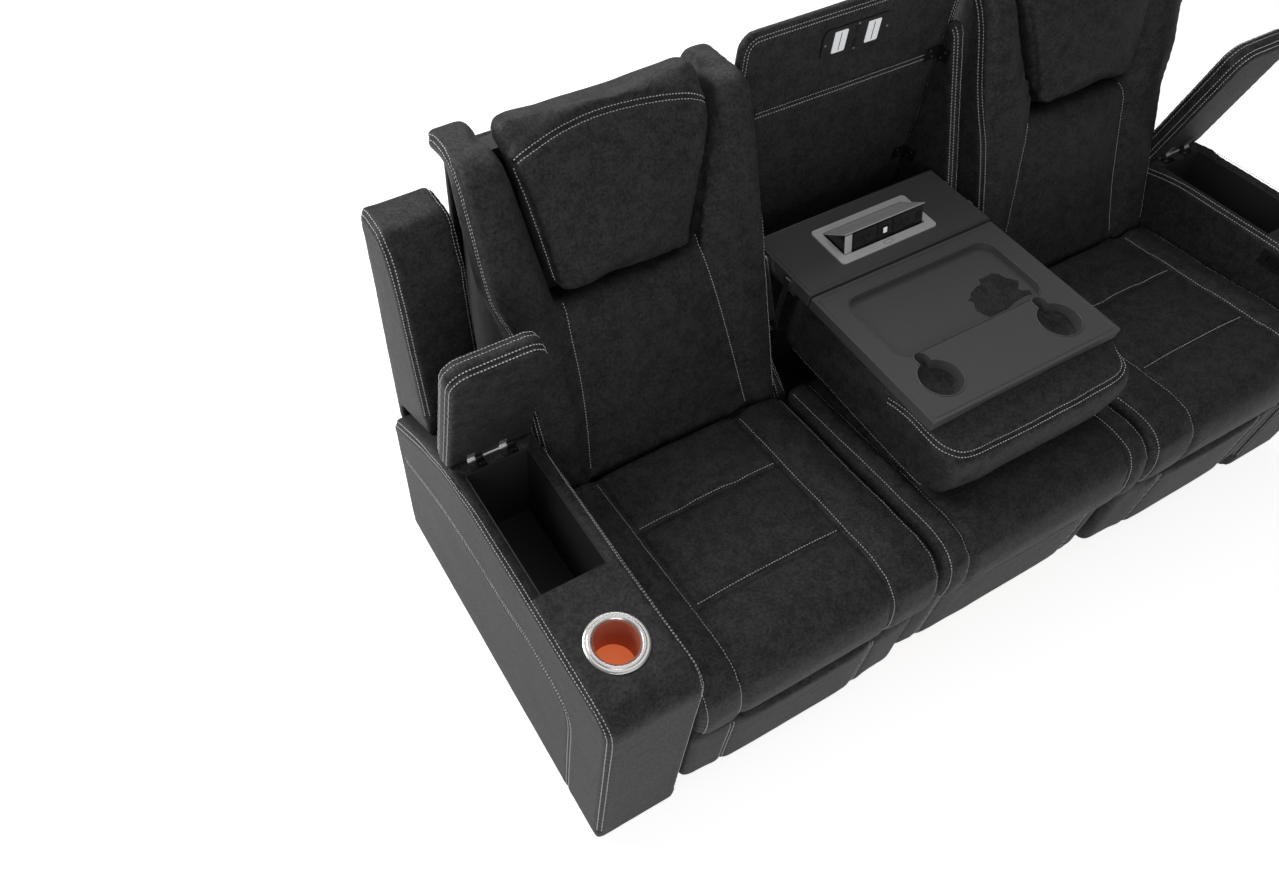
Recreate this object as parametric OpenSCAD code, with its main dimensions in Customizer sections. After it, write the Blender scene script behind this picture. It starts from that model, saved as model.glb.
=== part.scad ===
// Three-seat recliner sofa with a centre back that folds down into a console.
// Millimetres, +Z up, front towards -Y, origin on the floor in the middle of the sofa's box.
// Inside place() the sofa is drawn with x = 0 on its centre line, y = 0 at the front of
// the arms and z = 0 at the underside of the frame. The right side mirrors the left.

/* [Overall] */
// Width of each outer seat
seat_w = 605; // [560:1:660]
// Width of the centre section
centre_w = 610; // [580:1:680]
// Width of each arm
arm_w = 200; // [190:1:240]
// Distance from the front of the arms to the rear of the backs
sofa_d = 980; // [970:1:1010]
// Height of the feet
foot_h = 15; // [10:1:30]
// Gap between neighbouring upholstered parts
part_gap = 4; // [2:0.5:5]

/* [Arms] */
// Height of the arm above the frame's underside
arm_h = 605; // [590:1:640]
// Radius of the arm's front top edge
arm_front_r = 55; // [30:1:80]
// Radius along the arm's long top edges
arm_edge_r = 14; // [6:1:20]
// Distance from the arm's front to the start of its sloping rear
arm_slope_y = 560; // [545:1:580]
// Radius where the arm top turns down
arm_slope_r = 300; // [240:1:360]
// Angle of the sloping rear of the arm
arm_slope_angle = 32; // [28:1:36]
// Distance from the arm's front to its rear
arm_d = 946; // [935:1:960]
// Thickness of the arm's padding and leather
arm_skin = 11; // [8:1:12]
// Thickness of the arm's wooden boards
arm_board = 12; // [10:1:14]

/* [Arm storage] */
// Distance from the arm's front to the box
box_y = 286; // [276:1:290]
// Length of the box opening
box_len = 312; // [300:1:314]
// Width of the box opening
box_w = 143; // [130:1:144]
// Depth of the box
box_h = 220; // [150:1:260]
// Wall of the box liner
liner_wall = 3; // [2:0.5:4]
// Depth of the rebate that the lid closes into
rim_drop = 10; // [6:1:12]
// Thickness of the lid
lid_t = 50; // [36:1:60]
// Angle that the lid stands open at rest
lid_open = 76; // [60:1:85]
// Corner radius of the lid's front
lid_corner_r = 38; // [10:1:50]
// Diameter of the lid's hinge pin
pin_d = 8; // [6:0.5:9]
// Length of the lid's hinge pin
pin_len = 106; // [90:1:120]

/* [Cup holder] */
// Distance from the arm's outer face to the cup holder's axis
cup_x = 97; // [92:1:104]
// Distance from the arm's front to the cup holder's axis
cup_y = 137; // [125:1:170]
// Outer diameter of the metal ring
ring_d = 120; // [112:1:124]
// Bore of the metal ring
ring_bore = 87; // [80:1:92]
// Height of the ring above the arm
ring_h = 6; // [4:0.5:8]
// Depth of the cup holder
cup_h = 95; // [60:1:110]

/* [Seats] */
// Height of the seat at its front
seat_front_z = 497; // [480:1:505]
// Height of the seat at its rear
seat_rear_z = 466; // [455:1:470]
// Height of the cushion's underside
seat_base_z = 305; // [300:1:310]
// Distance from the front of the arms to the seat's rear
seat_d = 530; // [520:1:534]
// Distance that the seat's front stands proud of the arms
seat_proud = 12; // [4:1:20]
// Radius of the seat's front roll
seat_roll_r = 92; // [60:1:95]
// Width of each side panel of the seat
seat_side_w = 105; // [90:1:120]
// Depth of the sewn channels
channel_depth = 9; // [4:1:12]
// Width of the sewn channels
channel_w = 34; // [24:1:44]

/* [Backs] */
// Angle of the back from upright
back_lean = 22; // [20:1:24]
// Distance from the front of the arms to the back's face at seat height
back_y = 556; // [552:1:562]
// Height at which that distance is measured
back_z = 474; // [470:1:480]
// Height of the back's top
back_top_z = 1108; // [1090:1:1125]
// Thickness of the back cushion
back_pad_t = 112; // [100:1:116]
// Distance that the side bolsters stand in front of the middle
bolster_proud = 20; // [10:1:26]
// Angle that the back reclines
recline_angle = 35; // [20:1:35]
// Thickness of the headrest
headrest_t = 105; // [90:1:108]
// Angle that the headrest tips forward
headrest_angle = 25; // [10:1:28]

/* [Wings] */
// Thickness of each wing
wing_w = 144; // [130:1:146]
// Inset of the wing from the arm's outer face
wing_inset = 28; // [26:1:36]
// Height of the wing's top
wing_top_z = 992; // [970:1:1010]

/* [Footrests] */
// Height of the footrest's top when stored
foot_top_z = 300; // [296:1:301]
// Height of the footrest's underside when stored
foot_base_z = 60; // [52:1:70]
// Thickness of the footrest's pad
foot_pad_t = 52; // [40:1:54]
// Thickness of the footrest's board
foot_board_t = 12; // [10:1:14]
// Length of each footrest link between its pins
link_len = 165; // [163:1:166]

/* [Console] */
// Half of the console's width
console_half_w = 260; // [250:1:262]
// Distance from the front of the arms to the tray's front edge
tray_y0 = 204; // [196:1:214]
// Distance from the front of the arms to the joint between tray and rear panel
tray_y1 = 588; // [580:1:592]
// Distance from the front of the arms to the console's rear edge
panel_y1 = 786; // [780:1:790]
// Height of the tray's top at the console pivot
tray_top_z = 705; // [700:1:708]
// Slope of the lowered console
console_tilt = 2.5; // [2:0.1:3]
// Thickness of the tray moulding
tray_t = 24; // [20:1:26]
// Depth of the tray's recess
tray_recess = 14; // [12:1:16]
// Radius of the mug holders
mug_r = 46; // [42:1:48]
// Depth of the mug holders
mug_h = 38; // [30:1:42]
// Angle that the console turns through to close the back
console_angle = 98; // [90:1:98]

/* [Power unit] */
// Length of the power unit's frame
bezel_len = 274; // [240:1:290]
// Width of the power unit's frame
bezel_w = 118; // [110:1:124]
// Thickness of the power unit's frame
bezel_t = 3; // [2:0.5:4]
// Length of the pop-up box
power_len = 226; // [200:1:230]
// Width of the pop-up box, from its pivot to its front edge
power_w = 74; // [64:1:76]
// Angle that the pop-up box stands open at rest
power_open = 36; // [28:1:38]

/* [Centre back] */
// Height of the centre back
shell_top_z = 1145; // [1135:1:1160]
// Distance from the front of the arms to the recess's rear face
shell_face_y = 882; // [880:1:888]
// Thickness of the recess's side walls
shell_wall = 30; // [26:1:34]
// Thickness of the recess's rear panel
shell_panel_t = 23; // [20:1:40]
// Distance that the walls' front edges lie behind the backs' face
shell_set_back = 70; // [50:1:90]

/* [Hidden] */
$fn = 48;

// Overrun of every cut, and the gap of a soft part from its seat
cut = 1;
seat_gap = 0.3;
// Radial clearance of a running pin
pin_play = 0.05;

// Main planes
x_centre = centre_w/2;
x_in = x_centre + seat_w;
x_out = x_in + arm_w;
y_mid = (sofa_d - seat_proud)/2;
seat_x0 = x_centre + part_gap;
seat_x1 = x_in - part_gap;
seat_x_len = seat_x1 - seat_x0;

module place() translate([0, -y_mid, foot_h]) children();
module both() {
    place() children();
    place() mirror([1, 0, 0]) children();
}
// A block between two corners
module block(a, b) translate(a) cube(b - a);
// A shape drawn in y and z, run along x between two places
module along_x(xa, xb) translate([xa, 0, 0]) rotate([90, 0, 90]) linear_extrude(xb - xa) children();
// A pin along x
module pin_x(xa, xb, y, z, r) translate([xa, y, z]) rotate([0, 90, 0]) cylinder(r = r, h = xb - xa);
// A flat plate with round ends between two points in y and z
strap_steps = 12;
function half_round(centre, from, r) =
    [for (i = [0:strap_steps]) centre + r*[cos(from + 180*i/strap_steps), sin(from + 180*i/strap_steps)]];
function strap_outline(p, q, r) = let (turn = atan2(q[1] - p[1], q[0] - p[0]))
    concat(half_round(q, turn - 90, r), half_round(p, turn + 90, r));
module strap(xa, xb, p, q, r) along_x(xa, xb) polygon(strap_outline(p, q, r));
// A plan rectangle with round corners
module round_plate(a, b, r, h) {
    block([a[0] + r, a[1], a[2]], [b[0] - r, b[1], a[2] + h]);
    block([a[0], a[1] + r, a[2]], [b[0], b[1] - r, a[2] + h]);
    for (x = [a[0] + r, b[0] - r], y = [a[1] + r, b[1] - r]) translate([x, y, a[2]]) cylinder(r = r, h = h);
}

// Rounded outlines, as lists of points
function unit(v) = v/norm(v);
function arc_corner(a, b, c, r, k) = r == 0 ? [b] :
    let (u = unit(a - b), v = unit(c - b), half = acos(u*v)/2, mid = b + unit(u + v)*r/sin(half))
    let (s = b + u*r/tan(half) - mid, e = b + v*r/tan(half) - mid)
    let (from = atan2(s[1], s[0]), turn = (atan2(e[1], e[0]) - from + 540) % 360 - 180)
    [for (i = [0:k]) mid + r*[cos(from + turn*i/k), sin(from + turn*i/k)]];
function rounded(points, radii, k) =
    let (n = len(points))
    [for (i = [0:n - 1]) each arc_corner(points[(i + n - 1) % n], points[i], points[(i + 1) % n], radii[i], k)];
function mid_of(v) = (v[0] + v[1])/2;
function mean(v) = [for (i = [0:len(v[0]) - 1]) [for (p = v) p[i]]*[for (p = v) 1/len(v)]];

// Faces that fan from one point over a list of others
function fan(centre, list) = [for (i = [0:len(list) - 1]) [centre, list[i], list[(i + 1) % len(list)]]];
// A closed skin over rings of points, each ring closed on itself.
// A last ring that bends is closed in two flat parts, which meet at the two points named in bend.
module skin(rings, bend = []) {
    m = len(rings[0]);
    n = len(rings);
    last = (n - 1)*m;
    bent = len(bend) > 0;
    low = bent ? concat([for (j = [bend[1]:m - 1]) j], [for (j = [0:bend[0]]) j]) : [for (j = [0:m - 1]) j];
    high = bent ? [for (j = [bend[0] + 1:bend[1] - 1]) j] : [];
    points = concat([for (r = rings) each r], [mean(rings[0]), mean([for (j = low) rings[n - 1][j]])],
        bent ? [mean([for (j = high) rings[n - 1][j]])] : []);
    sides = [for (i = [0:n - 2], j = [0:m - 1]) each [[i*m + j, i*m + (j + 1) % m, (i + 1)*m + (j + 1) % m],
        [i*m + j, (i + 1)*m + (j + 1) % m, (i + 1)*m + j]]];
    first = [for (j = [0:m - 1]) [n*m, (j + 1) % m, j]];
    ends = bent ? concat(fan(n*m + 1, [for (j = low) last + j]), fan(n*m + 2, [for (j = high) last + j]),
        [[last + low[len(low) - 1], last + high[0], last + high[len(high) - 1]],
            [last + low[len(low) - 1], last + high[len(high) - 1], last + low[0]]]) : fan(n*m + 1, [for (j = low) last + j]);
    polyhedron(points = points, faces = concat(sides, first, ends));
}
// Stations that round the two ends of a cushion: place along the edge and draw-in there
edge_place_shares = [0, 0.14, 0.45, 1];
edge_inset_shares = [1, 0.5, 0.14, 0];

// Base frame
rail_h = 50;
rail_t = 30;
front_rail_y = 300;
rear_rail_y = 840;
rear_board_t = 12;
rear_board_z = 190;
foot_r = 22;
foot_inset = 34;
module base_frame() color("#8a6f4d") place() {
    x_end = x_in - seat_gap;
    for (y = [front_rail_y, rear_rail_y]) block([-x_end, y, 0], [x_end, y + rail_t, rail_h]);
    for (s = [-1, 1], x = [plate_x, x_centre + plate_inset])
        translate([s*x, 0, 0]) block([-rail_t/2, plate_y0, 0], [rail_t/2, rear_rail_y + cut, rail_h]);
    difference() {
        block([-x_end, rear_rail_y + rail_t, 0], [x_end, rear_rail_y + rail_t + rear_board_t, rear_board_z]);
        for (s = [-1, 1]) translate([s*(shell_x - shell_wall/2), rear_rail_y + rail_t, shell_foot_z])
            block([-shell_wall/2 - seat_gap, -cut, 0], [shell_wall/2 + seat_gap, rear_board_t + cut, rear_board_z]);
    }
    for (s = [-1, 1]) translate([s*(x_centre - rail_t), 0, 0])
        block([-rail_t/2, centre_box_y0, 0], [rail_t/2, rear_rail_y + cut, rail_h]);
}
foot_rows = [foot_inset, arm_d - foot_inset];
module feet() color("#1c1c1c") place() {
    for (s = [-1, 1], y = foot_rows, x = [x_out - foot_inset, x_in + foot_inset])
        translate([s*x, y, -foot_h]) cylinder(r = foot_r, h = foot_h);
    for (s = [-1, 1], y = [front_rail_y, rear_rail_y], x = [plate_x, x_centre - rail_t])
        translate([s*x, y + rail_t/2, -foot_h]) cylinder(r = rail_t/2, h = foot_h);
}

// Arms: side outline, then the padded cover, its boards and the storage box
arm_rear_top = arm_h - arm_slope_r*(1 - cos(arm_slope_angle))
    - (arm_d - arm_slope_y - arm_slope_r*sin(arm_slope_angle))*tan(arm_slope_angle);
arm_rear_r = 30;
slope_steps = 6;
function arm_outline(inset) =
    let (r = arm_slope_r - inset, centre = [arm_slope_y, arm_h - arm_slope_r])
    let (slope = [for (i = [0:slope_steps]) let (a = 90 - arm_slope_angle*i/slope_steps) centre + r*[cos(a), sin(a)]])
    let (last = slope[slope_steps], run = arm_d - inset - last[0])
    let (corner = [arm_d - inset, last[1] - run*tan(arm_slope_angle)])
    concat([[inset, 0], [inset, arm_h - arm_front_r]],
        arc_corner([inset, 0], [inset, arm_h - inset], [arm_slope_y, arm_h - inset], arm_front_r - inset, slope_steps),
        slope, arc_corner(last, corner, [arm_d - inset, 0], arm_rear_r - inset/2, slope_steps), [[arm_d - inset, 0]]);
module arm_section(inset) intersection() {
    along_x(x_in + inset, x_out - inset) polygon(arm_outline(inset));
    r = arm_edge_r - inset/2;
    translate([x_in + inset, arm_d, 0]) rotate([90, 0, 0]) linear_extrude(arm_d) {
        w = arm_w - 2*inset;
        h = arm_h - inset;
        translate([0, -cut]) square([w, h - r + cut]);
        translate([r, 0]) square([w - 2*r, h]);
        for (x = [r, w - r]) translate([x, h - r]) circle(r = r);
    }
}
rim_z = arm_h - rim_drop;
rim_side = 3;
hinge_room = 12;
hinge_rear = 21;
lid_len = box_len + 34;
box_x1 = x_out - (arm_w - box_w)/2;
box_x0 = box_x1 - box_w;
box_floor_z = rim_z - box_h;
cup_cx = x_out - cup_x;
ring_neck = 2.5;
hole_r = ring_bore/2 + ring_neck;
module arm_cover() {
    difference() {
        arm_section(0);
        arm_section(arm_skin);
        translate([0, 0, -cut]) arm_section(arm_skin);
        block([x_in + arm_skin, arm_skin, -cut], [x_out - arm_skin, arm_d - arm_skin, rail_h]);
        block([x_in + rim_side, box_y - rim_side, rim_z], [x_out - rim_side, arm_d, arm_h + cut]);
        block([x_in + rim_side, pin_y - hinge_room, rim_z - knuckle_r/2], [x_out - rim_side, pin_y + hinge_rear, arm_h]);
        block([box_x0, box_y, box_floor_z], [box_x1, box_y + box_len, arm_h]);
        translate([cup_cx, cup_y, arm_h - arm_skin - cut]) cylinder(r = hole_r + seat_gap, h = arm_skin + 2*cut);
        block([x_in - cut, switch_y, switch_z], [x_in + arm_skin + cut, switch_y + switch_len, switch_z + switch_h]);
    }
}
module left_arm_cover() color("#333435") place() mirror([1, 0, 0]) arm_cover();
module right_arm_cover() color("#333435") place() arm_cover();

// Boards inside the arm, with a shelf under the box and one under the cup
liner_floor = 3;
cup_wall = 2;
ring_lip = 2;
lens_t = 4;
shelf_t = 12;
shelf_z = box_floor_z - shelf_t;
cup_shelf_z = arm_h + ring_lip - cup_h - shelf_t - liner_floor;
module arm_boards() {
    difference() {
        arm_section(arm_skin);
        translate([0, 0, -cut]) block([x_in + arm_skin + arm_board, arm_skin + arm_board, -cut],
            [x_out - arm_skin - arm_board, arm_d - arm_skin - arm_board, arm_h]);
        block([x_in, box_y - rim_side, rim_z - arm_skin], [x_out, arm_d, arm_h]);
        block([x_in, switch_y - switch_lip, switch_z - switch_lip],
            [x_in + arm_w/2, switch_y + switch_len + switch_lip, switch_z + switch_h + switch_lip]);
        block([box_x0, box_y, box_floor_z], [box_x1, box_y + box_len, arm_h]);
    }
    inner_x = [x_in + arm_skin + arm_board, x_out - arm_skin - arm_board];
    block([inner_x[0], box_y - shelf_t, shelf_z], [inner_x[1], box_y + box_len + shelf_t, shelf_z + shelf_t]);
    block([inner_x[0], cup_y - ring_d/2, cup_shelf_z], [inner_x[1], cup_y + ring_d/2, cup_shelf_z + shelf_t]);
}
module arm_frames() color("#a98a5d") both() arm_boards();

module storage_liner() difference() {
    block([box_x0, box_y, box_floor_z], [box_x1, box_y + box_len, rim_z]);
    block([box_x0 + liner_wall, box_y + liner_wall, box_floor_z + liner_wall],
        [box_x1 - liner_wall, box_y + box_len - liner_wall, rim_z + cut]);
}
module left_storage_liner() color("#17181a") place() mirror([1, 0, 0]) storage_liner();
module right_storage_liner() color("#17181a") place() storage_liner();

// Cup holder: ring on the arm, cup hung in its bore, lens on the cup's floor
cup_r = ring_bore/2 - seat_gap;
module cup_ring() translate([cup_cx, cup_y, arm_h]) rotate_extrude() {
    bore = ring_bore/2;
    rim = ring_d/2;
    polygon([[bore, 0], [rim, 0], [rim, ring_h/3], [rim - ring_h/3, ring_h*2/3], [rim - ring_h, ring_h],
        [bore + ring_lip*2, ring_h], [bore + ring_lip, ring_h*2/3], [bore + ring_lip, ring_h/3], [bore, ring_h/3]]);
    translate([bore, -arm_skin - ring_neck]) square([ring_neck, arm_skin + ring_neck]);
}
module cup_rings() color("#d9dadb") both() cup_ring();
module cup_liner() translate([cup_cx, cup_y, 0]) difference() {
    translate([0, 0, arm_h + ring_lip - cup_h - liner_floor]) cylinder(r = cup_r, h = cup_h + liner_floor);
    translate([0, 0, arm_h + ring_lip - cup_h]) cylinder(r = cup_r - cup_wall, h = cup_h + cut);
}
module cup_liners() color("#5a2e26") both() cup_liner();
module cup_lens() translate([cup_cx, cup_y, arm_h + ring_lip - cup_h]) cylinder(r = cup_r - cup_wall - seat_gap, h = lens_t);
module cup_lenses() color("#e8572a") both() cup_lens();

// Switch plate on the inner face of the arm, with two rocker switches
switch_y = 150;
switch_len = 110;
switch_h = 34;
switch_z = 545;
switch_lip = 3;
switch_t = 3;
rocker_len = 34;
rocker_h = 18;
rocker_t = 7;
rocker_gap = 0.4;
rocker_pin_r = 1.5;
rocker_places = [0.28, 0.72]*switch_len;
module switch_plate() difference() {
    union() {
        block([x_in - switch_t, switch_y - switch_lip, switch_z - switch_lip],
            [x_in, switch_y + switch_len + switch_lip, switch_z + switch_h + switch_lip]);
        block([x_in, switch_y, switch_z], [x_in + arm_skin, switch_y + switch_len, switch_z + switch_h]);
    }
    for (p = rocker_places) {
        block([x_in - switch_t - cut, switch_y + p - rocker_len/2 - rocker_gap, switch_z + switch_h/2 - rocker_h/2 - rocker_gap],
            [x_in + arm_skin - switch_t, switch_y + p + rocker_len/2 + rocker_gap, switch_z + switch_h/2 + rocker_h/2 + rocker_gap]);
        translate([x_in + rocker_t/2, switch_y + p, switch_z]) cylinder(r = rocker_pin_r + pin_play, h = switch_h);
    }
}
module switch_plates() color("#232426") both() switch_plate();
rocker_proud = 2;
module rocker(p) {
    x = x_in + rocker_t/2;
    intersection() {
        translate([x_in - switch_t - rocker_proud, switch_y + p, switch_z + switch_h/2])
            block([0, -rocker_len/2, -rocker_h/2], [rocker_t + switch_t, rocker_len/2, rocker_h/2]);
        translate([x, switch_y + p, switch_z]) cylinder(r = rocker_len/2 - rocker_gap, h = switch_h);
    }
    translate([x, switch_y + p, switch_z + seat_gap]) cylinder(r = rocker_pin_r, h = switch_h - 2*seat_gap);
}
module left_recline_switch() color("#3a3b3d") place() mirror([1, 0, 0]) rocker(rocker_places[0]);
module left_headrest_switch() color("#3a3b3d") place() mirror([1, 0, 0]) rocker(rocker_places[1]);
module right_recline_switch() color("#3a3b3d") place() rocker(rocker_places[0]);
module right_headrest_switch() color("#3a3b3d") place() rocker(rocker_places[1]);

// Lid of the storage box, drawn closed and turned open about its pin
pin_r = pin_d/2;
leaf_t = 2;
leaf_len = 34;
leaf_reach = 20;
lid_seat = 2;
pin_y = box_y + box_len + leaf_reach + pin_r;
pin_z = rim_z + leaf_t + lid_seat;
pin_cx = (box_x0 + box_x1)/2;
lid_tail = 6;
lid_side = rim_side + seat_gap;
lid_edge_r = 10;
module open_lid() translate([0, pin_y, pin_z]) rotate([-lid_open, 0, 0]) translate([0, -pin_y, -pin_z]) children();
module lid() open_lid() difference() {
    intersection() {
        round_plate([x_in + lid_side, box_y, pin_z + lid_seat], [x_out - lid_side, box_y + lid_len + lid_corner_r, 0],
            lid_corner_r, lid_t);
        block([x_in, box_y, pin_z], [x_out, pin_y + lid_tail, pin_z + 2*lid_t]);
        translate([x_in + lid_side, pin_y + lid_tail, pin_z + lid_seat]) rotate([90, 0, 0]) linear_extrude(2*lid_len) {
            w = arm_w - 2*lid_side;
            translate([lid_edge_r, 0]) square([w - 2*lid_edge_r, lid_t]);
            translate([0, lid_edge_r]) square([w, lid_t - 2*lid_edge_r]);
            for (x = [lid_edge_r, w - lid_edge_r], z = [lid_edge_r, lid_t - lid_edge_r])
                translate([x, z]) circle(r = lid_edge_r);
        }
    }
    pin_x(x_in, x_out, pin_y, pin_z, pin_r + leaf_t + lid_seat);
}
module left_lid() color("#2e2f30") place() mirror([1, 0, 0]) lid();
module right_lid() color("#2e2f30") place() lid();
leaf_gap = 0.5;
leaf_places = [-1, 1]*(pin_len/2 - leaf_len/2 - leaf_gap);
knuckle_r = pin_r + leaf_t;
module fixed_leaf(x) difference() {
    union() {
        block([x - leaf_len/2, pin_y - knuckle_r - leaf_reach, rim_z], [x + leaf_len/2, pin_y, rim_z + leaf_t]);
        pin_x(x - leaf_len/2, x - leaf_gap, pin_y, pin_z, knuckle_r);
    }
    pin_x(x - leaf_len, x + leaf_len, pin_y, pin_z, pin_r + pin_play);
    block([x - leaf_gap, pin_y - knuckle_r - leaf_gap, rim_z - cut], [x + leaf_len, pin_y + knuckle_r, rim_z + lid_t]);
}
module lid_fixed_leaves() color("#2b2c2e") both() for (p = leaf_places) fixed_leaf(pin_cx + p);
module moving_leaf(x) {
    pin_x(x, x + leaf_len/2, pin_y, pin_z, knuckle_r);
    block([x, pin_y - knuckle_r - leaf_reach, pin_z + lid_seat - leaf_t], [x + leaf_len/2, pin_y, pin_z + lid_seat]);
}
module lid_hinge() open_lid() {
    pin_x(pin_cx - pin_len/2, pin_cx + pin_len/2, pin_y, pin_z, pin_r);
    for (p = leaf_places) moving_leaf(pin_cx + p);
}
module left_lid_hinge() color("#c9cacc") place() mirror([1, 0, 0]) lid_hinge();
module right_lid_hinge() color("#c9cacc") place() lid_hinge();

// Seat cushions: rings across the width, with sewn channels along and across
seat_edge = 30;
seat_crown = 7;
cross_y = [173, 379];
roll_r = [16, 48, seat_roll_r, 9];
seat_back_gap = 3;
seat_kink_z = 425;
function seat_rear_y(z) = back_y - seat_back_gap + (z - back_z)*tan(back_lean);
// One ring at x. inset draws it in, drop lowers its face, swell crowns it, cross opens the cross channels
function seat_ring(x, inset, drop, swell, cross) =
    let (y0 = inset - seat_proud, y1 = seat_d - inset/4, z0 = seat_base_z + inset/2, g = channel_w/2)
    let (top = function (y) seat_front_z + (seat_rear_z - seat_front_z)*y/seat_d - inset - drop + swell*seat_crown)
    let (dips = [for (c = cross_y) each [[c - g, top(c)], [c, top(c) - cross*channel_depth], [c + g, top(c)]]])
    let (crest = [(cross_y[0] + cross_y[1])/2, top((cross_y[0] + cross_y[1])/2) + swell*seat_crown/2])
    let (points = concat([[y1, z0], [y0 + drop, z0], [y0 + drop, top(0)]], [dips[0], dips[1], dips[2], crest, dips[3], dips[4], dips[5]],
        [[seat_rear_y(top(seat_d)) - inset/4, top(seat_d)], [y1, seat_kink_z]]))
    [for (p = rounded(points, concat([roll_r[0], roll_r[1], roll_r[2] - inset], [for (i = [0:6]) 0], [roll_r[3], 0]), 3)) [x, p[0], p[1]]];
function seat_rings(x0, x1, seams, cross) =
    let (g = channel_w/2, c = channel_depth, n = len(edge_place_shares) - 1, mid = (seams[0] + seams[1])/2)
    concat([for (i = [0:n]) seat_ring(x0 + seat_edge*edge_place_shares[i], seat_edge*edge_inset_shares[i], 0, 0, 0)],
        [for (s = [[(x0 + seat_edge + seams[0])/2, 0, 1, 0], [seams[0] - g, 0, 0, 0], [seams[0], c, 0, 0],
            [seams[0] + g, 0, 0, cross], [(seams[0] + mid)/2, 0, 0.8, cross], [mid, 0, 1, cross],
            [(seams[1] + mid)/2, 0, 0.8, cross], [seams[1] - g, 0, 0, cross],
            [seams[1], c, 0, 0], [seams[1] + g, 0, 0, 0], [(x1 - seat_edge + seams[1])/2, 0, 1, 0]])
            seat_ring(s[0], 0, s[1], s[2], s[3])],
        [for (i = [n:-1:0]) seat_ring(x1 - seat_edge*edge_place_shares[i], seat_edge*edge_inset_shares[i], 0, 0, 0)]);
seat_seams = [x_centre + seat_side_w + channel_w, x_in - seat_side_w];
module seat_cushion() skin(seat_rings(seat_x0, seat_x1, seat_seams, 1));
module left_seat_cushion() color("#262728") place() mirror([1, 0, 0]) seat_cushion();
module right_seat_cushion() color("#262728") place() seat_cushion();

// Seat frame with webbing, on flanges of the mechanism's plates
frame_t = 24;
frame_h = 56;
frame_inset = 42;
frame_y0 = 72;
web_t = 2;
web_w = 50;
frame_top = seat_base_z - web_t*2 - seat_gap;
module seat_frame() {
    xa = x_centre + frame_inset;
    xb = x_in - frame_inset;
    difference() {
        block([xa, frame_y0, frame_top - frame_h], [xb, seat_d, frame_top]);
        block([xa + frame_t, frame_y0 + frame_t, frame_top - frame_h - cut], [xb - frame_t, seat_d - frame_t, frame_top + cut]);
    }
    for (i = [1:5]) translate([xa + (xb - xa)*i/6, 0, 0])
        block([-web_w/2, frame_y0, frame_top], [web_w/2, seat_d, frame_top + web_t]);
    for (i = [1:4]) translate([0, frame_y0 + (seat_d - frame_y0)*i/5, 0])
        block([xa, -web_w/2, frame_top + web_t], [xb, web_w/2, frame_top + 2*web_t]);
}
module seat_frames() color("#a98a5d") both() seat_frame();

// Steel side plates of the recliner mechanism and the pivots that they carry
plate_inset = 18;
plate_t = 4;
plate_x = x_in - plate_inset;
plate_y0 = 120;
back_pivot = [585, 385];
link_pivot = [183, 191.5];
plate_ear_r = 18;
pivot_r = 6;
flange_y0 = 320;
flange_t = 4;
// The four plates stand at these places; each carries its parts on the side towards the seat's middle
module each_side() {
    translate([plate_x, 0, 0]) children();
    translate([x_centre + plate_inset, 0, 0]) mirror([1, 0, 0]) children();
}
plate_outline = [[plate_y0, rail_h], [plate_y0, link_pivot[1] + plate_ear_r], [flange_y0, frame_top - frame_h],
    [seat_d, frame_top - frame_h], [back_pivot[0] - plate_ear_r, back_pivot[1]], [back_pivot[0] + plate_ear_r, back_pivot[1]],
    [back_pivot[0] + plate_ear_r, rail_h + frame_h], [rear_rail_y, rail_h]];
module mechanism_plate() difference() {
    union() {
        along_x(0, plate_t) polygon(plate_outline);
        pin_x(0, plate_t, back_pivot[0], back_pivot[1], plate_ear_r);
        block([-frame_inset + plate_inset - frame_t, flange_y0, frame_top - frame_h - flange_t],
            [plate_t/2, seat_d, frame_top - frame_h]);
    }
    pin_x(-cut, plate_t + cut, back_pivot[0], back_pivot[1], pivot_r + pin_play);
    pin_x(-cut, plate_t + cut, link_pivot[0], link_pivot[1], pivot_r + pin_play);
}
module mechanism_plates() color("#55585b") both() each_side() mechanism_plate();

// Linear drives: motor, gearbox, rail and rod, hung between the plates on a cross tube
drive_r = 24;
drive_tube_r = 12;
drive_y = [330, 700];
drive_z = 150;
rod_r = 8;
module actuator() {
    mid = (x_centre + x_in)/2;
    translate([0, drive_y[1], drive_z]) pin_x(x_centre + plate_inset + plate_t, plate_x, 0, 0, drive_tube_r);
    translate([mid - drive_r*1.6, drive_y[1] - drive_r*3, drive_z - drive_r])
        cube([drive_r*3.2, drive_r*2.4, drive_r*2]);
    translate([mid - drive_r*1.6 - drive_r, drive_y[1] - drive_r*5.4, drive_z]) rotate([-90, 0, 0]) cylinder(r = drive_r, h = drive_r*4.4);
    translate([mid, drive_y[0], drive_z]) rotate([-90, 0, 0]) cylinder(r = rod_r*2, h = drive_y[1] - drive_y[0] - drive_r);
    translate([mid, drive_y[0] - rod_r*8, drive_z]) rotate([-90, 0, 0]) cylinder(r = rod_r, h = rod_r*9);
}
module actuators() color("#2a2d31") both() actuator();

// Footrest linkage. Pin places with the footrest stored, in y and z
link_elbow = [270, 120.5];
board_pin = [90, 266];
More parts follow.
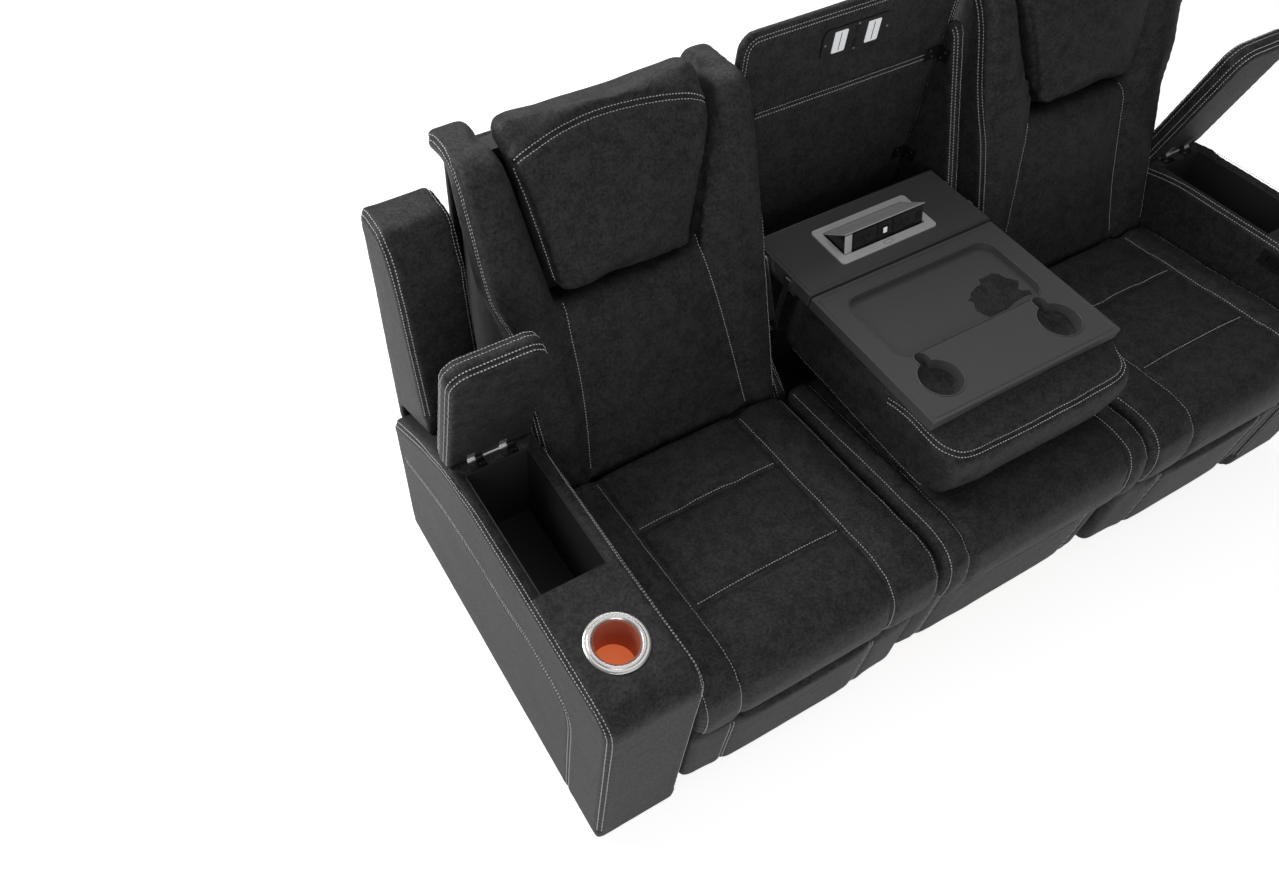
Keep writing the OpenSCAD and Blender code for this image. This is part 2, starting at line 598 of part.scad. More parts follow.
// Lug that carries the torque tube between the two rear links
drive_lug = [248.5, 183];
torque_tube_r = 8;
link_t = 4;
link_r = 11;
link_play = 1;
rear_link_x = [-link_play - link_t, -link_play];
front_link_x = rear_link_x - [1, 1]*(link_t + link_play);
bracket_x = front_link_x - [1, 1]*(link_t + link_play);
module rear_link() {
    strap(rear_link_x[0], rear_link_x[1], link_pivot, link_elbow, link_r);
    strap(rear_link_x[0], rear_link_x[1], (link_pivot + link_elbow)/2, drive_lug, link_r);
    pin_x(mid_of(rear_link_x), plate_t + link_play, link_pivot[0], link_pivot[1], pivot_r);
    pin_x(front_link_x[0], rear_link_x[0] + cut/2, link_elbow[0], link_elbow[1], pivot_r);
}
module rear_links() {
    each_side() rear_link();
    pin_x(x_centre + plate_inset - mid_of(rear_link_x), plate_x + mid_of(rear_link_x), drive_lug[0], drive_lug[1], torque_tube_r);
}
module left_rear_links() color("#6b6e72") place() mirror([1, 0, 0]) rear_links();
module right_rear_links() color("#6b6e72") place() rear_links();
module front_link() difference() {
    union() {
        strap(front_link_x[0], front_link_x[1], link_elbow, board_pin, link_r);
        pin_x(bracket_x[0], front_link_x[0] + cut/2, board_pin[0], board_pin[1], pivot_r);
    }
    pin_x(front_link_x[0] - cut/4, front_link_x[1] + cut, link_elbow[0], link_elbow[1], pivot_r + pin_play);
}
module left_front_links() color("#7a7d81") place() mirror([1, 0, 0]) each_side() front_link();
module right_front_links() color("#7a7d81") place() each_side() front_link();

// Footrest board with its brackets, and the pad in front of it
foot_proud = 5;
board_y0 = foot_pad_t - foot_proud + seat_gap;
board_y1 = board_y0 + foot_board_t;
board_inset = 14;
bracket_h = 34;
bracket_rise = 17;
module footrest_board() {
    block([x_centre + board_inset, board_y0, foot_base_z + board_inset], [x_in - board_inset, board_y1, foot_top_z - board_inset]);
    each_side() difference() {
        union() {
            pin_x(bracket_x[0], bracket_x[1], board_pin[0], board_pin[1], link_r);
            block([bracket_x[0], board_y1 - cut, board_pin[1] - link_r], [bracket_x[1], board_pin[0], board_pin[1] + link_r]);
            block([bracket_x[0] - bracket_h, board_y1, board_pin[1] - bracket_h], [bracket_x[1], board_y1 + link_t, board_pin[1] + bracket_rise]);
        }
        pin_x(bracket_x[0] - cut, bracket_x[1] + cut, board_pin[0], board_pin[1], pivot_r + pin_play);
    }
}
module left_footrest_board() color("#8a6f4d") place() mirror([1, 0, 0]) footrest_board();
module right_footrest_board() color("#8a6f4d") place() footrest_board();
foot_edge = 22;
function foot_ring(x, inset, drop, swell) =
    let (y0 = inset - foot_proud + drop + (1 - swell)*4*seat_gap, y1 = board_y0 - seat_gap, z0 = foot_base_z + inset, z1 = foot_top_z - inset)
    let (points = [[y1, z0], [y0, z0], [y0, (z0 + z1)/2], [y0, z1], [y1, z1]])
    [for (p = rounded(points, [5, foot_edge - inset/2, 0, foot_edge - inset/2, 5], 3)) [x, p[0], p[1]]];
function foot_rings(x0, x1, seams) =
    let (n = len(edge_place_shares) - 1, g = channel_w/2, c = channel_depth*2/3)
    concat([for (i = [0:n]) foot_ring(x0 + foot_edge*edge_place_shares[i], foot_edge*edge_inset_shares[i]*0.8, 0, 0)],
        [for (s = seams) each [foot_ring(s - g, 0, 0, 0.6), foot_ring(s, 0, c, 0), foot_ring(s + g, 0, 0, 0.6)]],
        [for (i = [n:-1:0]) foot_ring(x1 - foot_edge*edge_place_shares[i], foot_edge*edge_inset_shares[i]*0.8, 0, 0)]);
module footrest_pad() skin(foot_rings(seat_x0 + part_gap, seat_x1 - part_gap, [seat_seams[0], seat_seams[1]]));
module left_footrest_pad() color("#222324") place() mirror([1, 0, 0]) footrest_pad();
module right_footrest_pad() color("#222324") place() footrest_pad();

// Centre seat: cushion, box under it and the pad on the box's front
centre_box_y0 = 64;
centre_x = x_centre - part_gap/2;
centre_edge_w = 70;
module centre_seat_cushion() color("#1f2021") place()
    skin(seat_rings(-centre_x, centre_x, [-1, 1]*(centre_x - centre_edge_w), 0));
module centre_seat_box() color("#a98a5d") place() difference() {
    block([-centre_x, centre_box_y0, rail_h], [centre_x, seat_d, seat_base_z - seat_gap]);
    block([-centre_x + frame_t, centre_box_y0 + frame_t, rail_h - cut],
        [centre_x - frame_t, seat_d - frame_t, seat_base_z - frame_t]);
}
module centre_front_pad() color("#1f2021") place() translate([0, centre_box_y0 - board_y0, 0])
    skin(foot_rings(-centre_x, centre_x, [-1, 1]*(centre_x - centre_edge_w)));

// Backs. A point of the leaning back: v behind its face and w up along it
lean = [sin(back_lean), cos(back_lean)];
function back_point(v, w) = [back_y + w*lean[0] + v*lean[1], back_z + w*lean[1] - v*lean[0]];
// How far up along the face the height z lies, at v behind the face
function up_at(v, z) = (z - back_z + v*lean[0])/lean[1];
pad_foot_w = -46;
pad_foot_r = 12;
// The bolsters reach back over the top of the frame down to this height
hook_z = back_top_z - 44;
hook_inset = 3;
flat_share = 0.4;
bolster_bend = [6, 31];
hook_r = 18;
// Place on the leaning back of a point in y and z
function back_local(y, z) = [(y - back_y)*lean[1] - (z - back_z)*lean[0], (y - back_y)*lean[0] + (z - back_z)*lean[1]];
pad_top_r = 62;
lumbar_top_w = 388;
lumbar_r = 45;
bolster_foot_x = x_in - part_gap;
bolster_top_x = x_in + 24;
bolster_flare_w = [352, 435];
back_edge = 26;
outer_edge = 9;
back_x0 = x_centre + part_gap/2;
// Seams between the bolsters and the middle: the inner one slants, and both open out for the headrest
inner_seam_x = back_x0 + 89;
inner_slant_share = 0.195;
inner_turn_w = [435, 680];
rise_shares = [0.4, 0.81];
turn_shares = [0, 0.28, 0.55, 0.8];
inner_return = 89;
outer_seam_x = bolster_foot_x - 108;
outer_turn_w = [400, 680];
outer_return = 42;
turn_w = [for (s = turn_shares) inner_turn_w[0] + (inner_turn_w[1] - inner_turn_w[0])*s];
function ease(w, span) = min(1, max(0, (w - span[0])/(span[1] - span[0])));
function smooth(w, span) = let (t = min(1, max(0, (w - span[0])/(span[1] - span[0])))) t*t*(3 - 2*t);
function inner_move(w) = inner_slant_share*min(w, inner_turn_w[0]) - inner_return*ease(w, inner_turn_w);
function outer_move(w) = outer_return*ease(w, outer_turn_w);
// Place across the sofa of a point at w, where follow holds the shares of the inner seam, outer seam and flare
function across(x, w, follow) = x + follow[0]*inner_move(w) + follow[1]*outer_move(w)
    + follow[2]*(bolster_top_x - bolster_foot_x)*smooth(w, bolster_flare_w);
// One ring of the back. front is how far behind the face it starts, high says whether it is a bolster
function back_ring(x, inset, front, high, follow, hooked = true) =
    let (v0 = front + inset, v1 = back_pad_t - inset/2)
    let (wa = high ? up_at(v0, back_top_z - inset) : lumbar_top_w - inset)
    let (wb = high ? up_at(v1, back_top_z - inset) : lumbar_top_w - inset)
    let (foot = pad_foot_w + inset, end = wa - (high ? pad_top_r : lumbar_r)*1.2)
    let (rise = high ? concat([for (s = rise_shares) foot + (inner_turn_w[0] - foot)*s], turn_w)
        : [for (s = [1:6]) foot + (end - foot)*s/6])
    let (hook = [back_local(sofa_d - hook_inset - inset, back_top_z - inset), back_local(sofa_d - hook_inset - inset, hook_z + inset/2),
        [v1, up_at(v1, hook_z + inset/2)]])
    let (r = high ? pad_top_r : lumbar_r)
    let (flat = [for (i = [1:8]) let (v = v0 + r + (v1 - v0 - r - lumbar_r*flat_share)*i/9) [v, high ? up_at(v, back_top_z - inset) : wb]])
    let (top = high && hooked ? concat([[v0, wa]], hook) : concat([[v0, wa]], flat, [[v1, wb]]))
    let (points = concat([[v1, foot], [v0, foot]], [for (w = rise) [v0, w]], top, [for (i = [5:-1:0]) [v1, rise[i]]]))
    let (radii = concat([0, pad_foot_r], [for (w = rise) 0], high && hooked ? [pad_top_r - inset/2, hook_r, 6, 4] : concat([r - inset/2], [for (f = flat) 0], [10]), [for (w = rise) 0]))
    [for (p = rounded(points, radii, 3)) let (q = back_point(p[0], p[1])) [across(x, p[1], follow), q[0], q[1]]];
module back_cushion() {
    n = len(edge_place_shares) - 1;
    x1 = bolster_foot_x;
    xa = inner_seam_x;
    xb = outer_seam_x;
    g = channel_w/2;
    b = bolster_proud;
    mid = (xa + xb)/2;
    skin(concat(
        [for (i = [0:n]) back_ring(back_x0 + back_edge*edge_place_shares[i], back_edge*edge_inset_shares[i], 0, true, [0, 0, 0])],
        [back_ring(xa - g*1.6, 0, 0, true, [0.75, 0, 0]), back_ring(xa - g/2, g/2, channel_depth, true, [1, 0, 0]),
            back_ring(xa - g*0.4, g/2, channel_depth, true, [1, 0, 0], false),
            back_ring(xa, 0, b, false, [1, 0, 0]), back_ring(xa + 2*g, 0, b*0.7, false, [0.85, 0, 0]),
            back_ring(mid, 0, b/2, false, [0.4, 0.4, 0]), back_ring(xb - 2*g, 0, b*0.7, false, [0.1, 0.8, 0]),
            back_ring(xb, 0, b, false, [0, 1, 0]), back_ring(xb + g*0.4, g/2, channel_depth, true, [0, 1, 0], false),
            back_ring(xb + g/2, g/2, channel_depth, true, [0, 1, 0]),
            back_ring(xb + g*1.6, 0, 0, true, [0, 0.7, 0.4]), back_ring(x1 - outer_edge*3, 0, 0, true, [0, 0.1, 0.9])],
        [for (i = [n:-1:0]) back_ring(x1 - outer_edge*edge_place_shares[i], outer_edge*edge_inset_shares[i], 0, true, [0, 0, 1])]), bolster_bend);
}
module left_back_cushion() color("#2b2c2d") place() mirror([1, 0, 0]) back_cushion();
module right_back_cushion() color("#2b2c2d") place() back_cushion();

// Frame behind the cushion: side boards, rails, steel arms to the pivots and headrest ears
frame_v = back_pad_t + seat_gap;
cover_t = 20;
cap_t = 46;
back_board_t = 18;
cover_foot_z = 440;
frame_cap_z = back_top_z - cap_t;
frame_foot_z = 400;
arm_plate_t = 5;
arm_plate_x = -link_play - arm_plate_t;
arm_foot_w = -72;
function face_at(v, z) = back_point(v, up_at(v, z));
board_outline = [face_at(frame_v, frame_foot_z), face_at(frame_v, frame_cap_z), [sofa_d - cover_t, frame_cap_z],
    [sofa_d - cover_t, cover_foot_z + cover_t], [sofa_d - cover_t*8, frame_foot_z]];
ear_t = 6;
ear_r = 9;
headrest_pivot = back_point(46, lumbar_top_w + 22);
headrest_pin_r = 5;
ear_x = [0.36, 0.66]*seat_w;
rail_w_places = [0, lumbar_top_w - 20];
module back_frame() {
    each_side() {
        along_x(arm_plate_x - back_board_t, arm_plate_x) polygon(board_outline);
        pin_x(arm_plate_x, plate_t + link_play, back_pivot[0], back_pivot[1], pivot_r);
        pin_x(arm_plate_x, arm_plate_x + arm_plate_t, back_pivot[0], back_pivot[1], plate_ear_r);
        strap(arm_plate_x, arm_plate_x + arm_plate_t, back_pivot, back_point(frame_v + frame_h/2, arm_foot_w), plate_ear_r);
        along_x(arm_plate_x, arm_plate_x + arm_plate_t) polygon([back_point(frame_v, arm_foot_w - plate_ear_r), back_point(frame_v, frame_h*2),
            back_point(frame_v + frame_h, frame_h*2), back_point(frame_v + frame_h, arm_foot_w - plate_ear_r)]);
    }
    xa = x_centre + plate_inset - arm_plate_x;
    xb = plate_x + arm_plate_x;
    for (w = rail_w_places) along_x(xa, xb) polygon([back_point(frame_v, w), back_point(frame_v, w + frame_h),
        back_point(frame_v + frame_t, w + frame_h), back_point(frame_v + frame_t, w)]);
    block([xa, face_at(frame_v, frame_cap_z)[0], frame_cap_z - frame_t], [xb, sofa_d - cover_t, frame_cap_z]);
    for (p = ear_x) difference() {
        union() {
            strap(x_centre + p, x_centre + p + ear_t, headrest_pivot, back_point(frame_v + ear_r, lumbar_top_w + ear_r), ear_r);
        }
        pin_x(x_centre + p - cut, x_centre + p + ear_t + cut, headrest_pivot[0], headrest_pivot[1], headrest_pin_r + pin_play);
    }
}
module left_back_frame() color("#a98a5d") place() mirror([1, 0, 0]) back_frame();
module right_back_frame() color("#a98a5d") place() back_frame();

module back_cover() along_x(back_x0, bolster_foot_x)
    polygon(rounded([[sofa_d - cover_t, cover_foot_z], [sofa_d, cover_foot_z], [sofa_d, frame_cap_z], [sofa_d - cover_t, frame_cap_z]],
        [0, 4, 8, 0], 5));
module left_back_cover() color("#2b2c2d") place() mirror([1, 0, 0]) back_cover();
module right_back_cover() color("#2b2c2d") place() back_cover();

// Headrest: a pillow between the bolsters, whose lower lip hangs in front of the lumbar
headrest_gap = 3;
headrest_top_z = back_top_z + 32;
headrest_proud = 10;
headrest_foot_w = lumbar_top_w + 38;
headrest_lip_w = lumbar_top_w + 14;
headrest_rear_v = back_pad_t - 4;
headrest_side = [inner_seam_x + headrest_gap, outer_seam_x - headrest_gap];
function headrest_ring(x, inset, swell, follow) =
    let (v0 = inset - headrest_proud*swell + 4, v1 = headrest_rear_v - inset/2, top = headrest_top_z - inset)
    let (lip = headrest_lip_w + inset, foot = headrest_foot_w + inset)
    let (points = [[v1, foot], [headrest_proud*3.5, foot], [headrest_proud*2.5, lip],
        [v0 + 4, lip], [v0 - 1, turn_w[0]], [v0 - 4, turn_w[1]], [v0 - 4, turn_w[2]], [v0, turn_w[3]],
        [v0 + headrest_t/2, up_at(v0 + headrest_t/2, top)], [v1, up_at(v1, top - 4)], for (i = [3:-1:0]) [v1, max(turn_w[i], foot + (i + 1)*headrest_gap)]])
    let (radii = [0, 3, 4, 8, 0, 0, 0, 50, 26, 16, 0, 0, 0, 0])
    [for (p = rounded(points, radii, 3)) let (q = back_point(p[0], p[1])) [across(x, p[1], follow), q[0], q[1]]];
module headrest() {
    n = len(edge_place_shares) - 1;
    x0 = headrest_side[0];
    x1 = headrest_side[1];
    edge = back_edge*1.3;
    skin(concat([for (i = [0:n]) headrest_ring(x0 + edge*edge_place_shares[i], back_edge*edge_inset_shares[i], i/n*0.7, [1, 0, 0])],
        [for (s = [0.25, 0.5, 0.75]) headrest_ring(x0 + (x1 - x0)*s, 0, 1, [1 - s, s, 0])],
        [for (i = [n:-1:0]) headrest_ring(x1 - edge*edge_place_shares[i], back_edge*edge_inset_shares[i], i/n*0.7, [0, 1, 0])]));
    for (p = ear_x, s = [-1, 1]) {
        x = x_centre + p + ear_t/2 + s*(ear_t + headrest_gap/3);
        strap(x - ear_t/2, x + ear_t/2, headrest_pivot, headrest_pivot + lean*ear_r*3, ear_r);
    }
    for (p = ear_x) pin_x(x_centre + p + ear_t/2 - ear_t*1.4, x_centre + p + ear_t/2 + ear_t*1.4,
        headrest_pivot[0], headrest_pivot[1], headrest_pin_r);
}
module left_headrest() color("#2e2f30") place() mirror([1, 0, 0]) headrest();
module right_headrest() color("#2e2f30") place() headrest();

// Wings: upholstered boxes that stand on the sloping rear of the arms
wing_x1 = x_out - wing_inset;
wing_x0 = wing_x1 - wing_w;
wing_gap = 1;
wing_front_y = 818;
function slope_z(y) = arm_h - arm_slope_r*(1 - cos(arm_slope_angle))
    - (y - arm_slope_y - arm_slope_r*sin(arm_slope_angle))*tan(arm_slope_angle) + seat_gap;
wing_foot_y = 772;
wing_outline = rounded([[wing_foot_y, slope_z(wing_foot_y)], [wing_foot_y + 8, slope_z(wing_foot_y) + 50],
    [wing_front_y - 4, wing_top_z*0.79], [wing_front_y + 10, wing_top_z*0.9], [wing_front_y + 50, wing_top_z],
    [sofa_d - cut, wing_top_z], [sofa_d - cut, arm_rear_top - 40], [arm_d + 4, arm_rear_top - 34], [arm_d + 4, slope_z(arm_d + 4) + arm_rear_r]],
    [0, 40, 120, 60, 40, 24, 12, 0, 8], 5);
module wing() along_x(wing_x0, wing_x1) polygon(wing_outline);
module left_wing() color("#2b2c2d") place() mirror([1, 0, 0]) wing();
module right_wing() color("#2b2c2d") place() wing();

// Centre back shell: padded rear panel, two side walls and a floor behind the seat
shell_x = x_centre - part_gap/2;
shell_in_x = shell_x - shell_wall;
shell_foot_z = rail_h;
shell_top_x = shell_x - 6;
shell_corner_r = 34;
recess_floor_z = 342;
wall_foot_y = seat_d + 24;
wall_top_z = 1030;
shell_rear_y = shell_face_y + shell_panel_t;
wall_outline = rounded([[shell_face_y + cut, shell_foot_z], [wall_foot_y, shell_foot_z], [wall_foot_y, back_z - 46],
    face_at(shell_set_back, back_z + 20), face_at(shell_set_back, wall_top_z), [shell_face_y + cut, wall_top_z]], [0, 0, 20, 20, 30, 0], 6);
panel_outline = rounded([[shell_rear_y, shell_foot_z], [shell_face_y, shell_foot_z], [shell_face_y, shell_top_z], [shell_rear_y, shell_top_z]],
    [0, 0, 8, 12], 6);
module centre_back_shell() color("#1b1c1d") place() {
    for (s = [0, 1]) mirror([s, 0, 0]) along_x(shell_in_x, shell_x) polygon(wall_outline);
    intersection() {
        along_x(-shell_x, shell_x) polygon(panel_outline);
        translate([0, shell_rear_y, 0]) rotate([90, 0, 0]) linear_extrude(shell_panel_t)
            polygon(rounded([[-shell_x, shell_foot_z], [shell_x, shell_foot_z], [shell_top_x, shell_top_z], [-shell_top_x, shell_top_z]],
                [0, 0, shell_corner_r, shell_corner_r], 8));
    }
    block([-shell_x + cut, wall_foot_y + cut, recess_floor_z - rear_board_t], [shell_x - cut, shell_face_y + cut, recess_floor_z]);
}

// Angle brackets that hold the recess's walls to its rear panel, with the console's pivot brackets
angle_z = [690, 945];
angle_w = 38;
angle_h = 30;
angle_t = 3;
console_pivot = [655, 556];
console_pin_r = 7;
bracket_r = 16;
pivot_plate_t = 4;
module recess_brackets() color("#101112") both() {
    for (z = angle_z) {
        block([shell_in_x - angle_t, shell_face_y - angle_w, z], [shell_in_x, shell_face_y, z + angle_h]);
        block([shell_in_x - angle_w, shell_face_y - angle_t, z], [shell_in_x, shell_face_y, z + angle_h]);
    }
    difference() {
        union() {
            pin_x(shell_in_x - pivot_plate_t, shell_in_x, console_pivot[0], console_pivot[1], bracket_r);
            block([shell_in_x - pivot_plate_t, console_pivot[0] - bracket_r, console_pivot[1] - bracket_r*4],
                [shell_in_x, console_pivot[0] + bracket_r, console_pivot[1]]);
        }
        pin_x(shell_in_x - pivot_plate_t - cut, shell_in_x + cut, console_pivot[0], console_pivot[1], console_pin_r + pin_play);
    }
}

// Light panel with two lamps and two rocker switches
light_len = 178;
light_h = 62;
light_z = 1040;
light_t = 3;
light_r = 14;
lamp_w = 34;
lamp_h = 46;
lamp_x = 44;
lamp_t = 2;
light_switch_w = 8;
light_switch_h = 17;
light_switch_z = [0.28, 0.72]*light_h;
light_switch_t = 4;
light_pin_r = 1;
// Plates on the recess's rear face are drawn flat and stood up against it
module on_face() translate([0, shell_face_y, light_z]) rotate([90, 0, 0]) children();
module light_panel() color("#141516") place() on_face() difference() {
    round_plate([-light_len/2, 0, 0], [light_len/2, light_h, 0], light_r, light_t);
    for (z = light_switch_z) {
        translate([-light_switch_w/2 - seat_gap, z - light_switch_h/2 - seat_gap, light_t/4])
            cube([light_switch_w + 2*seat_gap, light_switch_h + 2*seat_gap, light_t]);
        translate([-light_switch_w, z, light_t*2/3]) rotate([0, 90, 0]) cylinder(r = light_pin_r + pin_play, h = light_switch_w*2);
    }
    for (s = [-1, 1]) translate([s*lamp_x - lamp_w/2, (light_h - lamp_h)/2, light_t - lamp_t/2]) cube([lamp_w, lamp_h, light_t]);
}
module reading_lamps() color("#e4e6e8") place() on_face() for (s = [-1, 1])
    round_plate([s*lamp_x - lamp_w/2, (light_h - lamp_h)/2, light_t - lamp_t/2], [s*lamp_x + lamp_w/2, (light_h + lamp_h)/2, 0], 3, lamp_t);
module light_switch(z) on_face() {
    intersection() {
        translate([-light_switch_w/2, z - light_switch_h/2, light_t/2]) cube([light_switch_w, light_switch_h, light_switch_t - light_t/2]);
        translate([-light_switch_w, z, light_t*2/3]) rotate([0, 90, 0]) cylinder(r = light_switch_h/2, h = light_switch_w*2);
    }
    translate([-light_switch_w*0.9, z, light_t*2/3]) rotate([0, 90, 0]) cylinder(r = light_pin_r, h = light_switch_w*1.8);
    for (s = [-1, 1]) translate([0, z + s*light_switch_h/4, light_switch_t - light_t/2]) cylinder(r = light_switch_w/4, h = light_t/2 + light_pin_r/2);
}
module light_switch_upper() color("#3a3b3d") place() light_switch(light_switch_z[1]);
module light_switch_lower() color("#3a3b3d") place() light_switch(light_switch_z[0]);

screw_r = 2.5;
screw_h = 1.2;
module small_screws() color("#5c5e60") place() {
    on_face() {
        for (s = [-1, 1]) {
            translate([s*(light_len/2 - light_r/2), light_h/2, light_t]) cylinder(r = screw_r, h = screw_h);
            translate([0, light_h/2 + s*(light_h/2 - screw_r*1.6), light_t]) cylinder(r = screw_r, h = screw_h);
        }
    }
    for (s = [-1, 1], z = angle_z, p = [0.25, 0.75]) {
        translate([s*(shell_in_x - angle_w*(0.3 + p/2)), shell_face_y - angle_t, z + angle_h*p]) rotate([90, 0, 0]) cylinder(r = screw_r, h = screw_h);
        translate([s*(shell_in_x - angle_t), shell_face_y - angle_w*(0.3 + p/2), z + angle_h*p]) rotate([0, -s*90, 0]) cylinder(r = screw_r, h = screw_h);
    }
    for (s = [-1, 1], p = leaf_places, q = [0.3, 0.7])
        translate([s*(pin_cx + p - leaf_len*q/2), pin_y - knuckle_r - leaf_reach/2, rim_z + leaf_t]) cylinder(r = screw_r*0.8, h = screw_h/2);
}

// Low-voltage inlet on the rear board
inlet_x = 620;
inlet_r = 9;
module power_inlet() color("#111213") place() translate([inlet_x, rear_rail_y + rail_t + rear_board_t, rear_board_z/2]) rotate([-90, 0, 0]) difference() {
    union() {
        cylinder(r = inlet_r*1.8, h = inlet_r/3);
        cylinder(r = inlet_r, h = inlet_r*1.2);
    }
    translate([0, 0, inlet_r/3]) cylinder(r = inlet_r*0.6, h = inlet_r*2);
}

// Console, drawn level and tilted about its pivot
module console_place() place() translate([0, console_pivot[0], console_pivot[1]]) rotate([console_tilt, 0, 0])
    translate([0, -console_pivot[0], -console_pivot[1]]) children();
tray_z = tray_top_z - tray_t;
panel_step = 4;
console_pad_y0 = 108;
console_pad_y1 = 640;
console_pad_z0 = 520;
console_pad_side = 3;
console_edge = 40;
pad_top_z = tray_z - seat_gap;
console_nose_drop = 22;
function console_ring(x, inset, swell) =
    let (y0 = console_pad_y0 + inset*0.9 - 6*swell + 6, z0 = console_pad_z0 + inset*0.7, nose = tray_y0 - 14)
    let (points = [[console_pad_y1 - 6, z0], [y0, z0], [y0, pad_top_z - console_nose_drop - inset*0.5],
        [nose, pad_top_z - console_nose_drop*0.3 - inset*0.5], [nose + 16, pad_top_z], [console_pad_y1, pad_top_z]])
    [for (p = rounded(points, [40, 62 - inset*0.4, 48 - inset*0.3, 12, 6, 4], 4)) [x, p[0], p[1]]];
module console_pad() {
    n = len(edge_place_shares) - 1;
    w = console_half_w + console_pad_side - cut;
    skin(concat([for (i = [0:n]) console_ring(-w + console_edge*edge_place_shares[i], console_edge*edge_inset_shares[i]*0.9, 0)],
        [for (s = [-0.6, -0.2, 0.2, 0.6]) console_ring(s*w, 0, 1)],
        [for (i = [n:-1:0]) console_ring(w - console_edge*edge_place_shares[i], console_edge*edge_inset_shares[i]*0.9, 0)]));
}
well_h = 66;
well_wall = 3;
well_gap = 3;
bezel_y0 = (tray_y1 + panel_y1)/2 - bezel_w/2;
bezel_y1 = bezel_y0 + bezel_w;
power_axis = [bezel_y1 - (bezel_w - power_w)/2 + 2, tray_top_z + panel_step];
// Space for the mug holders inside the cushion
mug_x = 166;
mug_y = tray_y0 + 82;
neck_r = 14;
neck_y = mug_y + mug_r + 12;
mug_wall = 2;
module mug_shape(grow, h) {
    cylinder(r = mug_r + grow, h = h);
    translate([0, neck_y - mug_y, 0]) cylinder(r = neck_r + grow, h = h);
    translate([-neck_r - grow, 0, 0]) cube([2*(neck_r + grow), neck_y - mug_y, h]);
}
module console_cushion() color("#232425") console_place() difference() {
    console_pad();
    for (s = [-1, 1]) translate([s*mug_x, mug_y, tray_top_z - mug_h - mug_wall - seat_gap]) mug_shape(mug_wall + seat_gap, mug_h);
}

// Tray moulding with its recess and two mug holders
recess_x = 205;
recess_y0 = mug_y + mug_r + neck_r*2;
recess_y1 = tray_y1 - 44;
recess_r = 34;
tray_edge_r = 3;
module console_tray() color("#3c3c40") console_place() difference() {
    union() {
        round_plate([-console_half_w, tray_y0, tray_z], [console_half_w, tray_y1 - part_gap, 0], tray_edge_r, tray_t);
        for (s = [-1, 1]) translate([s*mug_x, mug_y, tray_top_z - mug_h - mug_wall]) mug_shape(mug_wall, mug_h);
    }
    for (s = [-1, 1]) translate([s*mug_x, mug_y, tray_top_z - mug_h]) mug_shape(0, mug_h + cut);
    round_plate([-recess_x, recess_y0, tray_top_z - tray_recess], [recess_x, recess_y1, 0], recess_r, tray_recess + cut);
}

// Rear panel of the console, with the opening for the power unit
power_slot = [power_len/2 + well_gap, power_axis[0] - power_w - well_gap, power_axis[0] + well_gap];
module console_rear_panel() color("#2a2a2c") console_place() difference() {
    union() {
        round_plate([-console_half_w, tray_y1, tray_z], [console_half_w, panel_y1, 0], tray_edge_r, tray_t + panel_step);
        for (s = [-1, 1]) translate([s*(console_half_w - frame_t), 0, 0])
            block([-frame_t/2, console_pad_y1 + seat_gap, tray_z - frame_t], [frame_t/2, panel_y1 - frame_t, tray_z + cut]);
    }
    block([-power_slot[0] - well_wall, power_slot[1] - well_wall, tray_z - cut],
        [power_slot[0] + well_wall, power_slot[2] + well_wall, tray_top_z + 2*panel_step]);
}
console_arm_t = 4;
console_arm_gap = 1;
module console_arms() color("#7d8084") both() {
    translate([0, console_pivot[0], console_pivot[1]]) rotate([console_tilt, 0, 0]) translate([0, -console_pivot[0], -console_pivot[1]]) {
        x = shell_in_x - pivot_plate_t - console_arm_gap;
        strap(x - console_arm_t, x, console_pivot, [panel_y1 - frame_t*2, tray_z + frame_t/2], frame_t/2);
        block([x - console_arm_t, console_pivot[0] - console_pin_r, console_pivot[1]],
            [x, console_pivot[0] + console_pin_r, tray_z + frame_t]);
        pin_x(console_half_w, x - console_arm_t/2, panel_y1 - frame_t*2, tray_z + frame_t/2, console_pin_r);
        pin_x(console_half_w, x - console_arm_t/2, console_pivot[0], tray_z + frame_t/2, console_pin_r);
        pin_x(x - console_arm_t/2, shell_in_x, console_pivot[0], console_pivot[1], console_pin_r);
    }
}

// Power unit: frame with its well, and the box that tips up about its rear edge
module power_bezel() color("#c4c6c8") console_place() difference() {
    z = tray_top_z + panel_step;
    union() {
        round_plate([-bezel_len/2, bezel_y0, z], [bezel_len/2, bezel_y1, 0], 10, bezel_t);
        block([-power_slot[0] - well_wall, power_slot[1] - well_wall, z - well_h], [power_slot[0] + well_wall, power_slot[2] + well_wall, z + cut]);
    }
    block([-power_slot[0], power_slot[1], z - well_h + well_wall], [power_slot[0], power_slot[2], z + bezel_t + cut]);
    for (s = [-1, 1]) pin_x(s*power_slot[0] - well_wall - cut, s*power_slot[0] + well_wall + cut, power_axis[0] - box_lid_t, power_axis[1] - box_lid_t, box_pin_r + pin_play);
}
box_lid_t = 3;
box_pin_r = 2;
box_reach = 43;
box_chord = [0.809, 0.588]*power_w;
box_tail = 10;
socket_r = 17;
